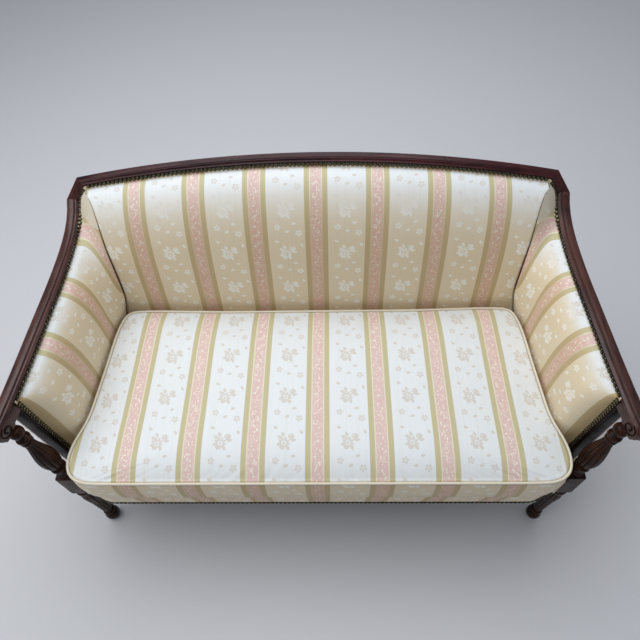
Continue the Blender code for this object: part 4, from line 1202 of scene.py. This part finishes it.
def make_cushion():
    count = 360
    line, out, z = welt_line(count)
    low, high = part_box("seat_cushion")
    bottom, top = low.z, high.z
    r = WELT_RADIUS
    middle = np.array((0.0, mix(low.y, high.y, 0.40)))
    spacing = np.linalg.norm(np.roll(line, -1, axis=0) - line, axis=1)
    length = np.concatenate([[0], np.cumsum(spacing)[:-1]])
    puckers = 0
    for height, pitch, phase in PUCKER_WAVES:
        puckers = puckers + height * np.sin(length * 2 * math.pi / pitch + phase)
    swell = np.sin(length * 2 * math.pi / PUCKER_SWELL)
    puckers = puckers * np.clip(swell * 0.6 + 0.55, 0.08, 1)

    bm = bmesh.new()
    layer = bm.loops.layers.uv.new("cloth")
    rings = []

    def ring(points, heights):
        heights = np.broadcast_to(heights, count)
        rings.append([bm.verts.new((p[0], p[1], h)) for p, h in zip(points, heights)])

    def moved(amount):
        return line + out * np.broadcast_to(amount, count)[:, None]

    # underside, boxing, the tuck under the welt, and the crowned top
    ring(middle + (line - middle) * 0.55, bottom)
    ring(moved(-0.010), bottom)
    ring(moved(-0.003), bottom + 0.002)
    for share in np.linspace(0.06, 0.92, 9):
        bulge = BOXING_BULGE * math.sin(math.pi * (0.12 + 0.76 * share)) - 0.0005
        ring(moved(bulge + 0.0003 * puckers * math.sin(math.pi * share)), mix(bottom, z, share))
    ring(moved(0.0), z - 1.5 * r)
    boxing_rings = len(rings)
    ring(moved(-1.0 * r), z - 0.9 * r)
    ring(moved(-1.3 * r), z)
    ring(moved(-1.6 * r), z + 0.5 * r)
    inner = moved(-1.9 * r)
    for scale in np.linspace(0.992, 0.06, 34):
        rise = (top - z) * (1 - scale ** CROWN_POWER) * 0.985
        drawn = 0.0008 * puckers * np.clip((scale - 0.70) / 0.26, 0, 1) ** 1.5
        ring(middle + (inner - middle) * scale, z + 0.3 * r + rise + drawn)
    last = bm.verts.new((middle[0], middle[1], top - 0.0002))

    for index, (low_ring, high_ring) in enumerate(zip(rings, rings[1:])):
        for k in range(count):
            m = (k + 1) % count
            face = bm.faces.new((low_ring[k], low_ring[m], high_ring[m], high_ring[k]))
            sideways = abs(out[k][0]) > 0.75 and line[k][1] > low.y + 0.03
            for loop in face.loops:
                p = loop.vert.co
                if index < boxing_rings - 1:
                    loop[layer].uv = (p.y + 0.02 if sideways else p.x, p.z - z)
                else:
                    loop[layer].uv = (p.x, p.y - SEAT_FLOWER_Y)
    caps = [bm.faces.new((rings[-1][k], rings[-1][(k + 1) % count], last)) for k in range(count)]
    caps.append(bm.faces.new(rings[0]))
    for face in caps:
        for loop in face.loops:
            loop[layer].uv = (loop.vert.co.x, loop.vert.co.y - SEAT_FLOWER_Y)
    made = make_object("loose_cushion", bm, CLOTH_LOOK, "cushion", ("seat_cushion",), 60)
    path = [Vector((p[0], p[1], z)) for p in line]
    tube("cushion_cord", path, r, WELT_LOOK, "cushion", True, 10, ("cushion_welt",))


def cover_depth(x, half, v):
    """Thickness of the front rail's cover, drawn back to the leg blocks at its ends."""
    crown = COVER_CROWN * math.sin(math.pi * (0.15 + 0.7 * v))
    ease = smooth_step((half - abs(x)) / COVER_END_RUN)
    return mix(COVER_END_THICKNESS, COVER_THICKNESS + crown, ease)


def make_front_cover():
    """Striped cover of the front rail."""
    half = BLOCK_INNER - GAP
    columns, rows = 200, 16
    low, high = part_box("front_rail_cover")
    spread = [half * (1 - 2 * j / columns) for j in range(columns + 1)]
    face = FRONT_RAIL_SETBACK - GAP
    waves = [math.sin(x * COVER_RIPPLE_RATE) for x in spread]
    front, back, uv = [], [], []
    for i in range(rows + 1):
        v = i / rows
        z = mix(low.z, high.z, v)
        ripple = COVER_RIPPLE * math.sin(math.pi * v)
        front.append([
            point(x, face - cover_depth(x, half, v) - ripple * wave, z)
            for x, wave in zip(spread, waves)
        ])
        back.append([point(x, face, z) for x in spread])
        uv.append([(x + COVER_FLARE * x * (1 - v) ** 1.5, z) for x in spread])
    made = cloth_body("front_cover", front, back, uv, ("front_rail_cover",), CLOTH_LOOK)


def make_deck():
    """Plain decking under the cushion, crowned a little between the rails."""
    low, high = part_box("seat_deck")
    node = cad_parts["seat_deck"]
    rows, columns = 24, 60
    front, back, uv = [], [], []
    for i in range(rows + 1):
        t = i / rows
        y = mix(low.y + 0.0002, high.y - 0.0002, t)
        ends = []
        for side in (-1, 1):
            outside = Vector((side * 0.9, y, mix(low.z, high.z, 0.5)))
            hit = node.ray_cast(outside, Vector((-side, 0, 0)))
            ends.append(hit[1].x if hit[0] else side * 0.55)
        line, rear_line = [], []
        for j in range(columns + 1):
            s = j / columns
            x = mix(ends[0], ends[1], s)
            edge = min(s, 1 - s, t, 1 - t)
            drop = DECK_FALL * (1 - clamp(edge / DECK_EDGE, 0, 1)) ** 2
            line.append(Vector((x, y, high.z - drop)))
            rear_line.append(Vector((x, y, low.z)))
        front.append(line)
        back.append(rear_line)
        uv.append([(p.x, p.y) for p in line])
    made = cloth_body("deck_cover", front, back, uv, ("seat_deck",), DECKING)


def make_panel(name, node, cloth_place):
    """Striped panel with the outline of its solid, its cloth's coordinates taken flat."""
    bm = bmesh.new()
    bm.from_mesh(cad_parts[node].data)
    bmesh.ops.remove_doubles(bm, verts=bm.verts[:], dist=1e-5)
    layer = bm.loops.layers.uv.get("cloth") or bm.loops.layers.uv.new("cloth")
    for face in bm.faces:
        for loop in face.loops:
            loop[layer].uv = cloth_place(loop.vert.co)
    made = make_object(name, bm, CLOTH_LOOK, "frame", (node,), 30)


def along_arm(p):
    return STRIPE_OFFSET + OUTER_ARM_SCALE * (p.y - OUTER_ARM_STRIPE_Y), p.z


def along_back(p):
    return p.x, p.z


# Nails

def nail_mesh():
    bm = bmesh.new()
    layer = bm.verts.layers.float.new("dome")
    shape = ((1.0, 0.0), (1.0, 0.10), (0.93, 0.34), (0.76, 0.63), (0.50, 0.86), (0.22, 0.97))
    rings = []
    for radius, height in shape:
        reach = NAIL_RADIUS * radius
        ring = [bm.verts.new((reach * c, reach * n, NAIL_HEIGHT * height)) for c, n in circle(12)]
        for vert in ring:
            vert[layer] = height
        rings.append(ring)
    top = bm.verts.new((0, 0, NAIL_HEIGHT))
    top[layer] = 1.0
    for low_ring, high_ring in zip(rings, rings[1:]):
        bridge(bm, low_ring, high_ring)
    last = rings[-1]
    for here, after in zip(last, last[1:] + last[:1]):
        bm.faces.new((here, after, top))
    bm.faces.new(rings[0])
    return bm


def nails(name, path):
    """A close row of nails along a path of (place, normal), all in one mesh."""
    source = nail_mesh()
    source.verts.index_update()
    dome_layer = source.verts.layers.float["dome"]
    verts = [(v.co.copy(), v[dome_layer]) for v in source.verts]
    faces = [[v.index for v in f.verts] for f in source.faces]
    source.free()
    total = [0.0]
    for (a, _), (b, _) in zip(path, path[1:]):
        total.append(total[-1] + (b - a).length)
    count = max(1, int(total[-1] / NAIL_PITCH))
    pitch = total[-1] / count
    bm = bmesh.new()
    layer = bm.verts.layers.float.new("dome")
    seed = 0
    for i in range(count):
        want = pitch * (i + 0.5)
        k = max(j for j in range(len(total) - 1) if total[j] <= want)
        t = (want - total[k]) / max(total[k + 1] - total[k], 1e-9)
        place = path[k][0].lerp(path[k + 1][0], t)
        normal = path[k][1].lerp(path[k + 1][1], t).normalized()
        seed = (seed * 1103515245 + 12345) % 2 ** 31
        tilt = Vector((math.sin(seed * 1e-3), math.cos(seed * 1.7e-3), math.sin(seed * 2.3e-3))) * 0.05
        turn = Vector((0, 0, 1)).rotation_difference((normal + tilt).normalized()).to_matrix()
        made = []
        for co, dome in verts:
            vert = bm.verts.new(place + turn @ co)
            vert[layer] = dome
            made.append(vert)
        for face in faces:
            bm.faces.new([made[j] for j in face])
    make_object(name, bm, BRASS, "frame")


def inward_from_edge(surface, share, distance, towards):
    """Walks from an edge of a surface until the distance is covered; gives place and normal."""
    before = surface(share, 0.0)
    covered, s, step = 0.0, 0.0, 0.001
    while covered < distance and s < 0.5:
        s += step
        here = surface(share, s)
        covered += (here - before).length
        before = here
    reach = 0.004
    along = surface(min(share + reach, 1.0), s) - surface(max(share - reach, 0.0), s)
    inwards = surface(share, s + reach) - surface(share, max(s - reach, 0.0))
    normal = along.cross(inwards).normalized()
    if normal.dot(towards) < 0:
        normal = -normal
    return before + normal * 0.0002, normal


def nail_row(name, edge, spots, inset, towards):
    """Nails along an edge, at a distance in from it, facing one way."""
    nails(name, [inward_from_edge(edge, spot, inset, towards) for spot in spots])


def make_nails():
    def back_edge(share, inset):
        return back_surface(mix(-1.0, 1.0, share), 1 - inset)

    spots = [mix(0.004, 0.996, k / 160) for k in range(161)]
    nail_row("nails_crest", back_edge, spots, NAIL_SEAT, Vector((0, -1, 0.5)))
    for label, side in SIDES:
        def arm_edge(share, inset):
            return arm_surface(share, 1 - inset, side)

        def post_edge(share, inset):
            return arm_surface(inset * 0.4, share, side)

        spots = [0.006] + [t for t in arm_columns() if 0.012 < t < 0.992]
        nail_row(f"nails_arm_{label}", arm_edge, spots, NAIL_SEAT, Vector((-0.4 * side, -0.8, 1)))
        spots = [0.97 * k / 60 for k in range(61)]
        nail_row(f"nails_upright_{label}", post_edge, spots, UPRIGHT_NAIL_SEAT, Vector((-side, -0.5, 0)))
    make_front_nails()


def make_front_nails():
    low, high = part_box("front_rail_cover")
    half = high.x
    step = 0.001

    def depth_at(x):
        return cover_depth(x, half, 0.05)

    path = []
    for k in range(101):
        x = mix(-half + 0.006, half - 0.006, k / 100)
        slope = (depth_at(x + step) - depth_at(x - step)) / (2 * step)
        place = point(x, FRONT_RAIL_SETBACK - GAP - depth_at(x) - 0.0004, low.z + FRONT_NAIL_RISE)
        path.append((place, Vector((-slope, -1, -0.1)).normalized()))
    nails("nails_front", path)


def make_volutes():
    """The carved hook on each face of the scrolls, as a thin cord whose dark wood paints the shade in
    its groove.
    """
    steps = 46
    for label, side in SIDES:
        for face, edge_at, outward in (("inner", arm_inner_edge, -1), ("outer", arm_outer_edge, 1)):
            path = []
            for k in range(steps):
                t = k / (steps - 1)
                angle = math.radians(VOLUTE_START) + t * VOLUTE_TURNS * 2 * math.pi
                r = mix(VOLUTE_OUTER, VOLUTE_INNER, t ** 0.75)
                at = LEG_SETBACK + r * math.cos(angle)
                z = SCROLL_Z + r * math.sin(angle)
                path.append(point(side * (edge_at(at) + outward * 0.0002), at, z))
            name = f"volute_{face}_{label}"
            # Painted shade: the cord's dark wood stands for the hollow of the carved groove
            tube(name, path, VOLUTE_CORD, DARK_WOOD_PAINTED_SHADE, "frame", False, 8)


# Camera, lights and floor

def make_camera():
    pitch, yaw, roll = (math.radians(angle) for angle in (CAMERA_PITCH, CAMERA_YAW, CAMERA_ROLL))
    ahead = Vector((math.sin(yaw) * math.cos(pitch), math.cos(yaw) * math.cos(pitch), -math.sin(pitch)))
    right = Vector((math.cos(yaw), -math.sin(yaw), 0))
    up = right.cross(ahead)
    turned_right = right * math.cos(roll) + up * math.sin(roll)
    turned_up = -right * math.sin(roll) + up * math.cos(roll)
    camera = bpy.data.cameras.new("camera")
    camera.lens = CAMERA_LENS
    camera.sensor_width = CAMERA_SENSOR
    holder = show("camera", camera)
    basis = Matrix((turned_right, turned_up, -ahead)).transposed()
    holder.matrix_world = Matrix.Translation(CAMERA_PLACE) @ basis.to_4x4()
    bpy.context.scene.camera = holder


def make_light(name, place, aim, size, power, colour):
    lamp = bpy.data.lights.new(name, "AREA")
    lamp.shape = "RECTANGLE"
    lamp.size, lamp.size_y = size
    lamp.energy = power
    lamp.color = colour
    holder = show(name, lamp)
    holder.location = place
    holder.rotation_mode = "QUATERNION"
    holder.rotation_quaternion = (Vector(aim) - Vector(place)).to_track_quat("-Z", "Y")


def make_stage():
    bm = bmesh.new()
    corners = ((-1, -1), (1, -1), (1, 1), (-1, 1))
    bm.faces.new([bm.verts.new((FLOOR_HALF * x, FLOOR_HALF * y, 0)) for x, y in corners])
    mesh = mesh_of("floor", bm)
    floor = show("floor", mesh)
    s = Shader("floor")
    s.set(Base_Color=FLOOR_COLOUR, Roughness=0.9)
    mesh.materials.append(s.material)

    world = bpy.data.worlds.new("studio")
    bpy.context.scene.world = world
    world.use_nodes = True
    sky = world.node_tree.nodes["Background"]
    sky.inputs["Color"].default_value = (*SKY_COLOUR, 1)
    sky.inputs["Strength"].default_value = SKY_STRENGTH
    make_light("sky_panel", (-0.5, 0.5, 3.1), (0, 0.0, 0.4), (3.4, 2.6), 85, (0.93, 0.96, 1.0))
    make_light("side_panel", (-2.6, -1.0, 2.4), (0.2, 0, 0.5), (1.6, 1.6), 13, (1.0, 0.97, 0.92))


make_camera()
make_stage()
dress_all_nodes()
make_crest()
make_balusters()
make_legs()
make_back()
for label, side in SIDES:
    make_arm_upholstery(label, side)
    make_panel(f"outer_arm_panel_{label}", f"outside_arm_{label}", along_arm)
make_panel("outer_back_panel", "outside_back", along_back)
make_cushion()
make_front_cover()
make_deck()
make_nails()
make_volutes()

bpy.context.scene.view_settings.view_transform = "Standard"
